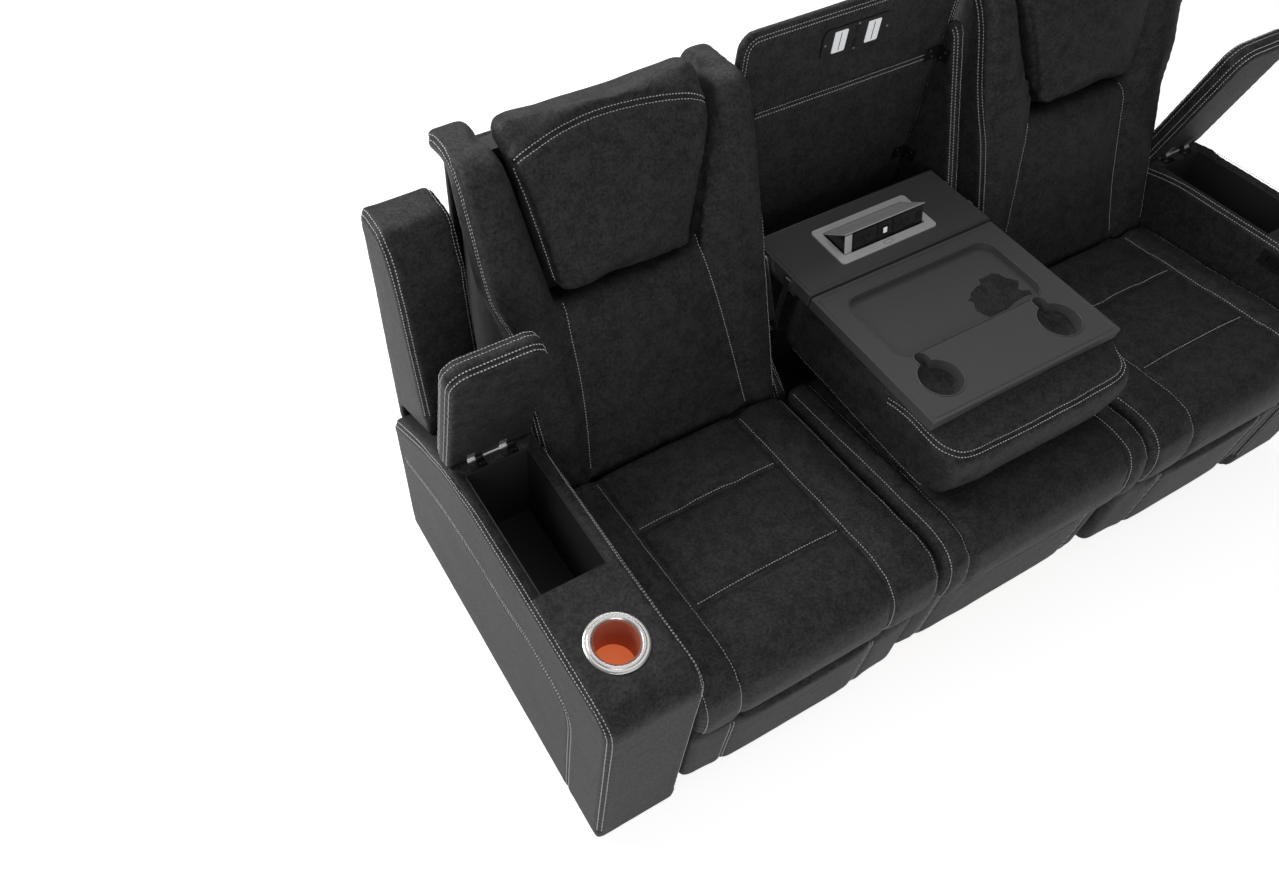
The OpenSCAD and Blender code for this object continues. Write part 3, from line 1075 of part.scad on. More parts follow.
module power_box() color("#26272a") console_place() translate([0, power_axis[0] - box_lid_t, power_axis[1] - box_lid_t]) rotate([-power_open, 0, 0]) {
    w = power_w - box_lid_t - cut;
    difference() {
        along_x(-power_len/2, power_len/2) polygon([[0, -box_lid_t], [box_lid_t, 0], [0, box_lid_t*2], [-w, box_lid_t*2], [-w, box_lid_t],
            [-w*0.809, -w*0.588], [-w*0.7, -w*0.588], [-box_tail*2, -box_tail]]);
        along_x(-power_len/2 + well_wall*4, power_len/2 - well_wall*4) polygon([[-box_tail*2, -box_tail/2], [-box_tail*2, -box_tail*2],
            [-w*0.75, -w*0.7], [-w*0.8, -w*0.45], [-w*0.93, -box_lid_t]]);
    }
    pin_x(-power_slot[0] - well_wall + seat_gap, power_slot[0] + well_wall - seat_gap, 0, 0, box_pin_r);
}

base_frame();
feet();
left_arm_cover();
right_arm_cover();
arm_frames();
left_storage_liner();
right_storage_liner();
cup_rings();
cup_liners();
cup_lenses();
switch_plates();
lid_fixed_leaves();
left_seat_cushion();
right_seat_cushion();
seat_frames();
mechanism_plates();
actuators();
centre_seat_cushion();
centre_seat_box();
centre_front_pad();
centre_back_shell();
recess_brackets();
light_panel();
reading_lamps();
small_screws();
power_inlet();
left_wing();
right_wing();
left_lid();
left_lid_hinge();
right_lid();
right_lid_hinge();
left_recline_switch();
left_headrest_switch();
right_recline_switch();
right_headrest_switch();
left_back_cushion();
left_back_frame();
left_back_cover();
right_back_cushion();
right_back_frame();
right_back_cover();
left_headrest();
right_headrest();
left_footrest_pad();
left_footrest_board();
left_rear_links();
left_front_links();
right_footrest_pad();
right_footrest_board();
right_rear_links();
right_front_links();
console_cushion();
console_tray();
console_rear_panel();
console_arms();
power_bezel();
power_box();
light_switch_upper();
light_switch_lower();
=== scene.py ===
"""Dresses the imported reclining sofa: leather cushions, seams, hardware, console and studio stage."""

import math

import bmesh
import bpy
import numpy as np
from bpy.props import FloatProperty, FloatVectorProperty, IntProperty, PointerProperty
from mathutils import Matrix, Vector
from mathutils.bvhtree import BVHTree


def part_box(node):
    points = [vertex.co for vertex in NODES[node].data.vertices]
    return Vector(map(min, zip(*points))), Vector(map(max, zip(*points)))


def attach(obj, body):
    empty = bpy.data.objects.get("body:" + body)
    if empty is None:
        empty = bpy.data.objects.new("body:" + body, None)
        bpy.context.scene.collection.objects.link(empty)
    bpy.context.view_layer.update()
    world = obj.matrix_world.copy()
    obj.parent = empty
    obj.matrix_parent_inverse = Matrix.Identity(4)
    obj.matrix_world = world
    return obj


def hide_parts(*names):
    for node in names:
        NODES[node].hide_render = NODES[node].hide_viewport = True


bl_info = {
    "name": "Console sofa",
    "version": (1, 0, 0),
    "blender": (4, 5, 0),
    "location": "View3D > Sidebar > Sofa",
    "description": "Builds the leather, seams, hardware and stage of the console sofa",
    "category": "Object",
}

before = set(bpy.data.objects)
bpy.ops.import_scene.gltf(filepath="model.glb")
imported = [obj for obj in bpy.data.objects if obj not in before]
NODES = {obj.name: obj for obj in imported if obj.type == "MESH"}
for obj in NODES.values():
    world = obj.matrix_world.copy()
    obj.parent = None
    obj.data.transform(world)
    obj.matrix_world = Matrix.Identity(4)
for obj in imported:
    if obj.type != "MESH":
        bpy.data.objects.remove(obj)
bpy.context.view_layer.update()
ARM_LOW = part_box("right_arm_cover")[0]
MM = 0.001
# The drawing's origin: centre line, front of the arms, underside of the frame
ORIGIN = np.array([0.0, ARM_LOW.y, ARM_LOW.z])
SIDES = (("right", 1.0), ("left", -1.0))
# Seams: distance between a path's points, how far a seam is felt, and the gathers beside it
SEAM_STEP, SEAM_REACH = 0.004, 0.05
GATHER_PITCH, GATHER_FADE, GATHER_DEPTH = 0.021, 0.014, 0.0006
# How full loose and tight padding is, how far a cushion may fill past its solid, and a tight skin's creases
CUSHION_FILL, TIGHT_FILL, CUSHION_GIVE, TIGHT_CREASE = 0.75, 0.95, 0.003, 0.0008
# Rows of stitches on both sides of a seam
TWIN = (0.005, -0.005)
# The arm seen from the side: its length, the level and radius of its top's turn, and the slope behind it
ARM_DEPTH, ARM_TOP, TOP_TURN_Y, TOP_TURN_R, ARM_SLOPE = 946, 605, 560, 300, 32
# The lid's pin and how far the lid stands open, and the console's pivot and its tilt
LID_PIN, LID_OPEN = (622, 599), -76
CONSOLE_PIN, CONSOLE_TILT = (655, 556), 2.5


def to_row(points):
    """Points of the drawing, in millimetres, as metres in the row frame."""
    return np.asarray(points, float) * MM + ORIGIN


def length_property(name, words, value):
    """A length that the panel shows."""
    return FloatProperty(name=name, description=words, default=value, unit="LENGTH")


def colour_property(name, words, value):
    """A colour that the panel shows."""
    return FloatVectorProperty(name=name, description=words, default=value, subtype="COLOR")


class SofaSizes(bpy.types.PropertyGroup):
    """Sizes that a user would change."""

    voxel: length_property("Remesh size", "Edge of the cushions' remesh", 0.008)
    pressure: FloatProperty(name="Pressure", description="Pressure that fills the cushions", default=4.0)
    frames: IntProperty(name="Frames", description="Frames that the cushions fill for", default=20)
    seam_depth: length_property("Seam depth", "Depth that a seam pulls in", 0.0032)
    seam_width: length_property("Seam width", "Half width of a seam's groove", 0.0055)
    stitch_pitch: length_property("Stitch pitch", "Distance between stitches", 0.0068)
    stitch_len: length_property("Stitch length", "Length of one stitch", 0.0050)
    stitch_r: length_property("Thread radius", "Radius of the thread", 0.0010)
    lens: FloatProperty(name="Lens", description="Focal length of the camera", default=26.63, unit="CAMERA")


class SofaColours(bpy.types.PropertyGroup):
    """Colours that a user would change."""

    leather: colour_property("Leather", "Leather", (0.0470, 0.0470, 0.0475))
    leather_dark: colour_property("Leather shade", "Leather in its pores", (0.0235, 0.0235, 0.0238))
    thread: colour_property("Thread", "Stitching thread", (0.74, 0.74, 0.74))
    silver: colour_property("Silver", "Power unit's frame", (0.84, 0.84, 0.85))
    cup: colour_property("Cup", "Cup holder's liner", (0.46, 0.14, 0.09))
    glow: colour_property("Cup floor", "Cup holder's floor", (0.86, 0.20, 0.07))


def sizes():
    """The sizes as they are set in the panel."""
    return bpy.context.scene.sofa_sizes


def colours():
    """The colours as they are set in the panel."""
    return bpy.context.scene.sofa_colours


# Meshes from arrays


def fill_mesh(mesh, co, *face_groups):
    """Puts points and groups of faces with equal corner counts into a mesh."""
    groups = [np.asarray(g, np.int32) for g in face_groups if len(g)]
    loops = np.concatenate([g.ravel() for g in groups])
    counts = np.concatenate([np.full(len(g), g.shape[1], np.int32) for g in groups])
    starts = np.concatenate([[0], np.cumsum(counts)[:-1]]).astype(np.int32)
    mesh.vertices.add(len(co))
    mesh.vertices.foreach_set("co", np.asarray(co, np.float32).ravel())
    mesh.loops.add(len(loops))
    mesh.loops.foreach_set("vertex_index", loops)
    mesh.polygons.add(len(counts))
    mesh.polygons.foreach_set("loop_start", starts)
    mesh.polygons.foreach_set("use_smooth", np.ones(len(counts), bool))
    mesh.update(calc_edges=True)
    mesh.validate()
    return mesh


def new_object(name, co, *face_groups):
    """A scene object in the row frame from points and faces."""
    obj = bpy.data.objects.new(name, fill_mesh(bpy.data.meshes.new(name), co, *face_groups))
    bpy.context.scene.collection.objects.link(obj)
    return obj


def dress(obj, body, material, replaces=()):
    """Gives a piece its material and its body, and hides the parts that it stands for."""
    obj.data.materials.clear()
    obj.data.materials.append(material)
    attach(obj, body)
    if replaces:
        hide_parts(*replaces)
    return obj


def points_of(mesh):
    """The mesh's points as an array."""
    co = np.empty(len(mesh.vertices) * 3, np.float32)
    mesh.vertices.foreach_get("co", co)
    return co.reshape(-1, 3).astype(float)


def normals_of(mesh):
    """The normals at the mesh's points."""
    n = np.empty(len(mesh.vertices) * 3, np.float32)
    mesh.vertex_normals.foreach_get("vector", n)
    return n.reshape(-1, 3).astype(float)


def put_points(mesh, co):
    """Moves the mesh's points."""
    mesh.vertices.foreach_set("co", np.asarray(co, np.float32).ravel())
    mesh.update()


def faces_of(mesh):
    """The faces as two arrays, of triangles and of quads."""
    total = np.empty(len(mesh.polygons), np.int32)
    start = np.empty(len(mesh.polygons), np.int32)
    loops = np.empty(len(mesh.loops), np.int32)
    mesh.polygons.foreach_get("loop_total", total)
    mesh.polygons.foreach_get("loop_start", start)
    mesh.loops.foreach_get("vertex_index", loops)
    return [loops[start[total == k][:, None] + np.arange(k)] for k in (3, 4)]


def edges_of(mesh):
    """The mesh's edges as pairs of points."""
    e = np.empty(len(mesh.edges) * 2, np.int32)
    mesh.edges.foreach_get("vertices", e)
    return e.reshape(-1, 2)


def bake_modifiers(obj):
    """Applies the object's modifiers to its mesh."""
    graph = bpy.context.evaluated_depsgraph_get()
    graph.update()
    mesh = bpy.data.meshes.new_from_object(obj.evaluated_get(graph), depsgraph=graph)
    old = obj.data
    obj.modifiers.clear()
    obj.data = mesh
    bpy.data.meshes.remove(old)
    mesh.polygons.foreach_set("use_smooth", np.ones(len(mesh.polygons), bool))
    return obj


def subdivide(obj):
    """Splits each face once, rounding the surface."""
    m = obj.modifiers.new("Fine", "SUBSURF")
    m.levels = m.render_levels = 1
    return bake_modifiers(obj)


def relax(co, edges, rounds, share=0.5):
    """Moves each point towards the mean of its neighbours."""
    n = len(co)
    degree = np.bincount(edges.ravel(), minlength=n)[:, None]
    for _ in range(rounds):
        total = np.stack([np.bincount(edges[:, 0], co[edges[:, 1], k], n)
                          + np.bincount(edges[:, 1], co[edges[:, 0], k], n) for k in range(3)], 1)
        co = co + share * (total / np.maximum(degree, 1) - co)
    return co


def left(name):
    """The name of a right piece's twin."""
    return name.replace("right", "left")


def mirrored(name, source):
    """A copy of a finished piece on the other side of the middle plane."""
    co = points_of(source.data) * (-1, 1, 1)
    return new_object(name, co, *[f[:, ::-1] for f in faces_of(source.data)])


def value_noise(p, cell, seed):
    """Smooth noise from 0 to 1: random values on a lattice of that cell, blended between its corners."""
    table = np.random.default_rng(seed).random((32, 32, 32))
    q = p / np.asarray(cell, float) + 1000.0
    i = np.floor(q).astype(int)
    f = q - i
    f = f * f * (3 - 2 * f)
    total = 0.0
    for corner in np.ndindex(2, 2, 2):
        c = np.array(corner)
        weight = np.prod(np.where(c == 1, f, 1 - f), axis=1)
        j = (i + c) % 32
        total = total + weight * table[j[:, 0], j[:, 1], j[:, 2]]
    return total


# Paths, seams and stitches


def resample(path, step, closed=False):
    """Points at even distances along a path."""
    p = np.asarray(path, float)
    if closed:
        p = np.vstack([p, p[:1]])
    d = np.concatenate([[0], np.cumsum(np.linalg.norm(np.diff(p, axis=0), axis=1))])
    keep = np.concatenate([[True], np.diff(d) > 1e-9])
    p, d = p[keep], d[keep]
    n = max(2, int(round(d[-1] / step)) + 1)
    t = np.linspace(0, d[-1], n)
    return np.stack([np.interp(t, d, p[:, k]) for k in range(3)], 1)


def curve(points, count=24):
    """A smooth curve through points: between two of them a cubic with the neighbours' slopes."""
    p = np.asarray(points, float)
    q = np.vstack([2 * p[0] - p[1], p, 2 * p[-1] - p[-2]])
    t = np.linspace(0, 1, count, endpoint=False)[:, None]
    parts = []
    for a, b, c, d in zip(q[:-3], q[1:-2], q[2:-1], q[3:]):
        parts.append(0.5 * (2 * b + (c - a) * t + (2 * a - 5 * b + 4 * c - d) * t**2 + (3 * b - a - 3 * c + d) * t**3))
    return np.vstack([*parts, p[-1:]])


def along(path):
    """Unit directions along a path."""
    d = np.gradient(path, axis=0)
    return d / np.maximum(np.linalg.norm(d, axis=1, keepdims=True), 1e-12)


def blur(path, rounds):
    """Smooths a path, its ends kept."""
    for _ in range(rounds):
        path = path.copy()
        path[1:-1] = path[1:-1] * 0.5 + (path[:-2] + path[2:]) * 0.25
    return path


def lay_on(tree, path, reach=0.06):
    """Drops a path onto a surface: the nearest point of the surface to each of its points."""
    spots, normals = [], []
    for p in path:
        hit = tree.find_nearest(Vector(p), reach)
        if hit[0] is not None:
            spots.append(hit[0])
            normals.append(hit[1])
    if len(spots) < 3:
        raise RuntimeError("a seam misses its surface")
    return np.array(spots, float), np.array(normals, float)


def tree_of(obj):
    """A search tree of the object's surface."""
    graph = bpy.context.evaluated_depsgraph_get()
    return BVHTree.FromObject(obj, graph)


def nearest_on_path(co, path, reach):
    """Distance of each point to a path, or infinity past the reach, and the number of the path's nearest point."""
    low, high = path.min(0) - reach, path.max(0) + reach
    near = np.flatnonzero(((co >= low) & (co <= high)).all(1))
    distance = np.full(len(co), np.inf)
    place = np.zeros(len(co))
    p = path.astype(np.float32)
    for chunk in np.array_split(near, max(1, len(near) * len(p) // 4000000 + 1)):
        if len(chunk):
            d = ((co[chunk].astype(np.float32)[:, None] - p) ** 2).sum(2)
            k = d.argmin(1)
            distance[chunk] = np.sqrt(d[np.arange(len(chunk)), k])
            place[chunk] = k
    return distance, place


def sew(obj, seams):
    """Pulls the surface in along each seam, swells it a little beside it, and gathers it across."""
    s = sizes()
    tree = tree_of(obj)
    co, n = points_of(obj.data), normals_of(obj.data)
    move = np.zeros(len(co))
    laid = []
    for k, line in enumerate(seams):
        spots, _ = lay_on(tree, resample(to_row(line["path"]), SEAM_STEP))
        spots, normals = lay_on(tree, resample(blur(spots, 10), SEAM_STEP))
        laid.append((line, spots, normals))
        w = s.seam_width * line.get("width", 1.0)
        depth = s.seam_depth * line.get("depth", 1.0)
        d, place = nearest_on_path(co, spots, SEAM_REACH)
        d = np.where(np.isfinite(d), d, 1.0)
        pull = -depth * np.exp(-((d / w) ** 2))
        swell = 0.25 * depth * np.exp(-(((d - 2.6 * w) / (1.6 * w)) ** 2))
        turn = place * SEAM_STEP * 2 * np.pi / GATHER_PITCH + 1.7 * np.sin(place * 0.11 + k)
        wave = GATHER_DEPTH * np.sin(turn) * np.exp(-d / GATHER_FADE)
        move += np.where(d < SEAM_REACH, pull + swell + wave, 0)
    put_points(obj.data, co + n * move[:, None])
    return laid


def stitches(name, obj, laid, body):
    """Lays a row of stitches beside each seam: small closed grains of thread along a path on the surface."""
    s = sizes()
    tree = tree_of(obj)
    centres, tangents, ups = [], [], []
    for line_facts, spots, normals in laid:
        for offset in line_facts.get("rows", (0.004,)):
            t = along(spots)
            side = np.cross(normals, t)
            side /= np.maximum(np.linalg.norm(side, axis=1, keepdims=True), 1e-9)
            line, _ = lay_on(tree, resample(blur(spots + side * offset, 4), s.stitch_pitch / 2), 0.03)
            line, up = lay_on(tree, resample(blur(line, 4), s.stitch_pitch), 0.03)
            if len(line) < 4:
                continue
            line, up = line[1:-1], up[1:-1]
            centres.append(line)
            tangents.append(along(line))
            ups.append(up)
    return thread_grains(name, np.vstack(centres), np.vstack(tangents), np.vstack(ups), body)


def thread_grains(name, centre, tangent, up, body):
    """One mesh of stitches: each is a ring of four points with a lower point at each end."""
    s = sizes()
    side = np.cross(up, tangent)
    side /= np.maximum(np.linalg.norm(side, axis=1, keepdims=True), 1e-9)
    shape = [(-0.5, 0, -0.3)]
    for x in (-0.3, 0.3):
        shape += [(x, math.cos(a), math.sin(a) * 0.8 + 0.35) for a in (0, math.pi / 2, math.pi, 1.5 * math.pi)]
    shape += [(0.5, 0, -0.3)]
    shape = np.array(shape)
    co = (centre[:, None] + shape[None, :, :1] * s.stitch_len * tangent[:, None]
          + shape[None, :, 1:2] * s.stitch_r * side[:, None] + shape[None, :, 2:] * s.stitch_r * up[:, None])
    n = len(centre)
    quads = np.array([(1 + k, 1 + (k + 1) % 4, 5 + (k + 1) % 4, 5 + k) for k in range(4)])
    tris = np.array([(0, 1 + (k + 1) % 4, 1 + k) for k in range(4)] + [(9, 5 + k, 5 + (k + 1) % 4) for k in range(4)])
    base = (np.arange(n) * 10)[:, None, None]
    obj = new_object(name, co.reshape(-1, 3), (tris + base).reshape(-1, 3), (quads + base).reshape(-1, 4))
    return dress(obj, body, material("thread"))


def seam(path, **facts):
    """A seam drawn through a few points, with its rows of stitches, its depth and its width."""
    return dict(path=curve(path, 8), **facts)


def opened(ring):
    """A closed ring with a stretch left out, turned so that it starts after the gap."""
    start = np.argmax(np.linalg.norm(np.diff(ring, axis=0, append=ring[:1]), axis=1)) + 1
    return np.roll(ring, -start, 0)


# Forms


def ring_quads(rings, around, closed_rings=False):
    """Faces between rings of points, each ring closed on itself."""
    i = np.arange(rings if closed_rings else rings - 1)[:, None]
    j = np.arange(around)[None, :]
    a = i * around + j
    b = i * around + (j + 1) % around
    c = (i + 1) % rings * around + (j + 1) % around
    d = (i + 1) % rings * around + j
    return np.stack([a, b, c, d], -1).reshape(-1, 4)


def rounded_outline(corners, radii, step=4.0, arc=8):
    """A closed outline with its corners rounded by arcs, resampled evenly. Corners run anticlockwise."""
    c = np.asarray(corners, float)
    out = []
    for k, r in enumerate(radii):
        a, b, d = c[k - 1], c[k], c[(k + 1) % len(c)]
        if r <= 0:
            out.append(b[None])
            continue
        u, v = (a - b) / np.linalg.norm(a - b), (d - b) / np.linalg.norm(d - b)
        half = math.acos(np.clip(u @ v, -1, 1)) / 2
        mid = b + (u + v) / np.linalg.norm(u + v) * r / math.sin(half)
        s, e = b + u * r / math.tan(half) - mid, b + v * r / math.tan(half) - mid
        start = math.atan2(s[1], s[0])
        turn = (math.atan2(e[1], e[0]) - start + 3 * math.pi) % (2 * math.pi) - math.pi
        t = start + turn * np.linspace(0, 1, arc + 1)
        out.append(mid + r * np.stack([np.cos(t), np.sin(t)], 1))
    p = np.vstack(out)
    p3 = np.column_stack([p, np.zeros(len(p))])
    return resample(p3, step, closed=True)[:-1, :2]


def outline_normals(p):
    """Outward directions of an anticlockwise outline."""
    d = np.roll(p, -1, 0) - np.roll(p, 1, 0)
    d /= np.maximum(np.linalg.norm(d, axis=1, keepdims=True), 1e-9)
    return np.stack([d[:, 1], -d[:, 0]], 1)


def slab(outline, low, high, edge, step=6.0, crown=0.0, heart=None):
    """A padded slab: an outline between two levels, with a quarter round at each edge and crowned faces.

    Each ring is the outline drawn in by an inset, then shrunk towards the heart. The points are two outline axes
    and the level."""
    n2 = outline_normals(outline)
    heart = outline.mean(0) if heart is None else np.asarray(heart, float)
    reach = np.linalg.norm(outline - heart, axis=1).max()
    face_rings = max(4, int(reach / step))
    shares = (np.arange(face_rings) + 0.5) / face_rings
    turns = np.linspace(0, math.pi / 2, 5)
    rows = [(s, edge, low - crown * (1 - s**2) ** 0.7) for s in shares]
    rows += [(1.0, edge * (1 - math.sin(t)), low + edge * (1 - math.cos(t))) for t in turns]
    band = np.linspace(low + edge, high - edge, max(2, int((high - low - 2 * edge) / step) + 2))[1:-1]
    rows += [(1.0, 0.0, z) for z in band]
    rows += [(1.0, edge * (1 - math.cos(t)), high - edge * (1 - math.sin(t))) for t in turns]
    rows += [(s, edge, high + crown * (1 - s**2) ** 0.7) for s in shares[::-1]]
    rings = []
    for s, inset, level in rows:
        flat = heart + (outline - n2 * inset - heart) * s
        rings.append(np.column_stack([flat, np.full(len(flat), level)]))
    co = np.vstack(rings)
    m = len(outline)
    quads = ring_quads(len(rings), m)
    ends = np.array([[*heart, low - crown], [*heart, high + crown]])
    j = np.arange(m)
    first = np.stack([np.full(m, len(co)), (j + 1) % m, j], 1)
    last_base = (len(rings) - 1) * m
    last = np.stack([np.full(m, len(co) + 1), last_base + j, last_base + (j + 1) % m], 1)
    return np.vstack([co, ends]), np.vstack([first, last]), quads


def lathe(profile, centre, around=96):
    """A closed profile of radius and height turned about an upright axis."""
    p = np.asarray(profile, float)
    a = np.linspace(0, 2 * math.pi, around, endpoint=False)
    x, y = centre[0] + p[:, :1] * np.cos(a), centre[1] + p[:, :1] * np.sin(a)
    co = np.stack([x, y, centre[2] + np.repeat(p[:, 1:], around, 1)], -1)
    return co.reshape(-1, 3), ring_quads(len(p), around, closed_rings=True)


def tube(path, radius, around=8, closed=False):
    """A round rod along a path: a circle carried along it, square to its direction."""
    p = np.asarray(path, float)
    t = (np.roll(p, -1, 0) - np.roll(p, 1, 0)) if closed else np.gradient(p, axis=0)
    t /= np.linalg.norm(t, axis=1, keepdims=True)
    side = np.cross(t, (0.0, 0.0, 1.0))
    side /= np.maximum(np.linalg.norm(side, axis=1, keepdims=True), 1e-9)
    top = np.cross(side, t)
    a = np.linspace(0, 2 * math.pi, around, endpoint=False)
    cos, sin = np.cos(a)[None, :, None], np.sin(a)[None, :, None]
    co = p[:, None] + radius * (cos * side[:, None] + sin * top[:, None])
    n = len(p)
    quads = ring_quads(n, around, closed_rings=closed)[:, ::-1]
    if closed:
        return co.reshape(-1, 3), quads
    j = np.arange(around)
    k = (j + 1) % around
    last = (n - 1) * around
    first_cap = np.stack([np.full(around, n * around), j, k], 1)
    last_cap = np.stack([np.full(around, n * around + 1), last + k, last + j], 1)
    return np.vstack([co.reshape(-1, 3), p[:1], p[-1:]]), np.vstack([first_cap, last_cap]), quads


def bevelled_box(low, high, r, seg=3):
    """A block with rounded edges, as points and faces."""
    bm = bmesh.new()
    low, high = np.asarray(low, float), np.asarray(high, float)
    bmesh.ops.create_cube(bm, size=1.0)
    for v in bm.verts:
        v.co = Vector((low + high) / 2) + Vector([v.co[k] * (high - low)[k] for k in range(3)])
    r = min(r, 0.49 * (high - low).min())
    bmesh.ops.bevel(bm, geom=list(bm.edges), offset=r, segments=seg, profile=0.5, affect="EDGES")
    bmesh.ops.triangulate(bm, faces=[f for f in bm.faces if len(f.verts) > 4])
    bm.verts.index_update()
    co = np.array([v.co for v in bm.verts])
    faces = [np.array([[v.index for v in f.verts] for f in bm.faces if len(f.verts) == k], np.int32).reshape(-1, k)
             for k in (3, 4)]
    bm.free()
    return co, *faces


def row_box(low, high, r, seg=3):
    """A block drawn in millimetres, in the row frame."""
    return bevelled_box(to_row([low])[0], to_row([high])[0], r * MM, seg)


def merge(parts):
    """Several point and face sets as one."""
    co, tris, quads, base = [], [], [], 0
    for part in parts:
        co.append(part[0])
        for f in part[1:]:
            if len(f):
                (tris if f.shape[1] == 3 else quads).append(f + base)
        base += len(part[0])
    empty3, empty4 = np.zeros((0, 3), int), np.zeros((0, 4), int)
    return np.vstack(co), np.vstack(tris) if tris else empty3, np.vstack(quads) if quads else empty4


def yz(points):
    """Points whose outline axes are y and z and whose level is x, in drawing order."""
    return np.stack([points[:, 2], points[:, 0], points[:, 1]], 1)


def xz(points):
    """Points whose outline axes are x and z and whose level is y. The order turns the faces round."""
    return np.stack([points[:, 0], points[:, 2], points[:, 1]], 1)


def turn_x(points, pivot, degrees):
    """Points turned about an axis along x through a pivot in y and z."""
    a = math.radians(degrees)
    y, z = points[:, 1] - pivot[0], points[:, 2] - pivot[1]
    turned = y * math.cos(a) - z * math.sin(a), y * math.sin(a) + z * math.cos(a)
    return np.stack([points[:, 0], pivot[0] + turned[0], pivot[1] + turned[1]], 1)


def cut_out(obj, cutters):
    """Cuts blocks and cylinders out of a piece."""
    for k, c in enumerate(cutters):
        tool = new_object(f"cutter_{k}", *c)
        m = obj.modifiers.new("Cut", "BOOLEAN")
        m.operation, m.object, m.solver = "DIFFERENCE", tool, "EXACT"
        obj.modifiers.new("Split", "TRIANGULATE").min_vertices = 5
        bake_modifiers(obj)
        bpy.data.objects.remove(tool)
    return obj


# Cushions from the CAD solids


def solid_copy(name, node):
    """A merged copy of a CAD node's mesh."""
    bm = bmesh.new()
    bm.from_mesh(NODES[node].data)
    bmesh.ops.remove_doubles(bm, verts=bm.verts, dist=1e-5)
    mesh = bpy.data.meshes.new(name)
    bm.to_mesh(mesh)
    bm.free()
    obj = bpy.data.objects.new(name, mesh)
    bpy.context.scene.collection.objects.link(obj)
    return obj


def inflate(obj, hold, cap):
    """Fills a closed skin with air: a cloth with pressure, held along its seams, that moves no further than the cap."""
    scene = bpy.context.scene
    s = sizes()
    group = obj.vertex_groups.new(name="hold")
    for i in np.flatnonzero(hold):
        group.add([int(i)], 1.0, "REPLACE")
    m = obj.modifiers.new("Cloth", "CLOTH")
    c = m.settings
    c.quality = 4
    c.mass = 0.3
    c.tension_stiffness = c.compression_stiffness = 12
    c.shear_stiffness = 4
    c.bending_stiffness = 0.8
    c.use_pressure = True
    c.uniform_pressure_force = s.pressure
    c.effector_weights.gravity = 0
    c.vertex_group_mass = "hold"
    m.collision_settings.use_collision = False
    m.point_cache.frame_start, m.point_cache.frame_end = 1, s.frames
    before = points_of(obj.data)
    for f in range(1, s.frames + 1):
        scene.frame_set(f)
    graph = bpy.context.evaluated_depsgraph_get()
    ev = obj.evaluated_get(graph)
    after = points_of(ev.to_mesh())
    ev.to_mesh_clear()
    obj.modifiers.clear()
    obj.vertex_groups.clear()
    scene.frame_set(1)
    move = after - before
    length = np.linalg.norm(move, axis=1, keepdims=True)
    move *= cap * np.tanh(length / cap) / np.maximum(length, 1e-9)
    put_points(obj.data, before + relax(move, edges_of(obj.data), 2))


def soft_limit(v, low, high, give):
    """Values past a limit are pressed back so that they go over it by no more than give."""
    v = np.where(v > high - give, high - give + give * np.tanh((v - high + give) / give), v)
    return np.where(v < low + give, low + give - give * np.tanh((low + give - v) / give), v)


def cushion(name, node, body, seams, cap, crease=0.0012):
    """A cushion of the CAD solid's form: remeshed, filled, then sewn. It is held along its seams as it fills.

    A right cushion gets a twin on the left."""
    s = sizes()
    obj = solid_copy(name, node)
    m = obj.modifiers.new("Skin", "REMESH")
    m.mode, m.voxel_size = "VOXEL", s.voxel
    bake_modifiers(obj)
    start = points_of(obj.data)
    low, high = start.min(0), start.max(0)
    co = relax(start, edges_of(obj.data), 3)
    put_points(obj.data, co)
    hold = np.zeros(len(co), bool)
    tree = tree_of(obj)
    for line in seams:
        spots, _ = lay_on(tree, resample(to_row(line["path"]), 0.006))
        d, _ = nearest_on_path(co, spots, 0.02)
        hold |= d < s.voxel * 0.8
    inflate(obj, hold, cap)
    co = points_of(obj.data)
    for axis in range(3):
        over = 0.0 if axis == 0 else CUSHION_GIVE
        co[:, axis] = soft_limit(co[:, axis], low[axis] - over, high[axis] + over, CUSHION_GIVE)
    put_points(obj.data, co)
    subdivide(obj)
    co, n = points_of(obj.data), normals_of(obj.data)
    soft = (value_noise(co, 0.075, 3) - 0.5) * 2 * crease
    warped = co + 0.02 * value_noise(co, 0.05, 5)[:, None]
    fine = np.abs(value_noise(warped, (0.045, 0.020, 0.030), 8) - 0.5) * 2 * crease * 0.5
    put_points(obj.data, co + n * (soft - fine)[:, None])
    laid = sew(obj, seams)
    dress(obj, body, material("leather"), (node,))
    thread = stitches(name + "_thread", obj, laid, body)
    if "right" in name:
        dress(mirrored(left(name), obj), left(body), material("leather"), (left(node),))
        dress(mirrored(left(name) + "_thread", thread), left(body), material("thread"))


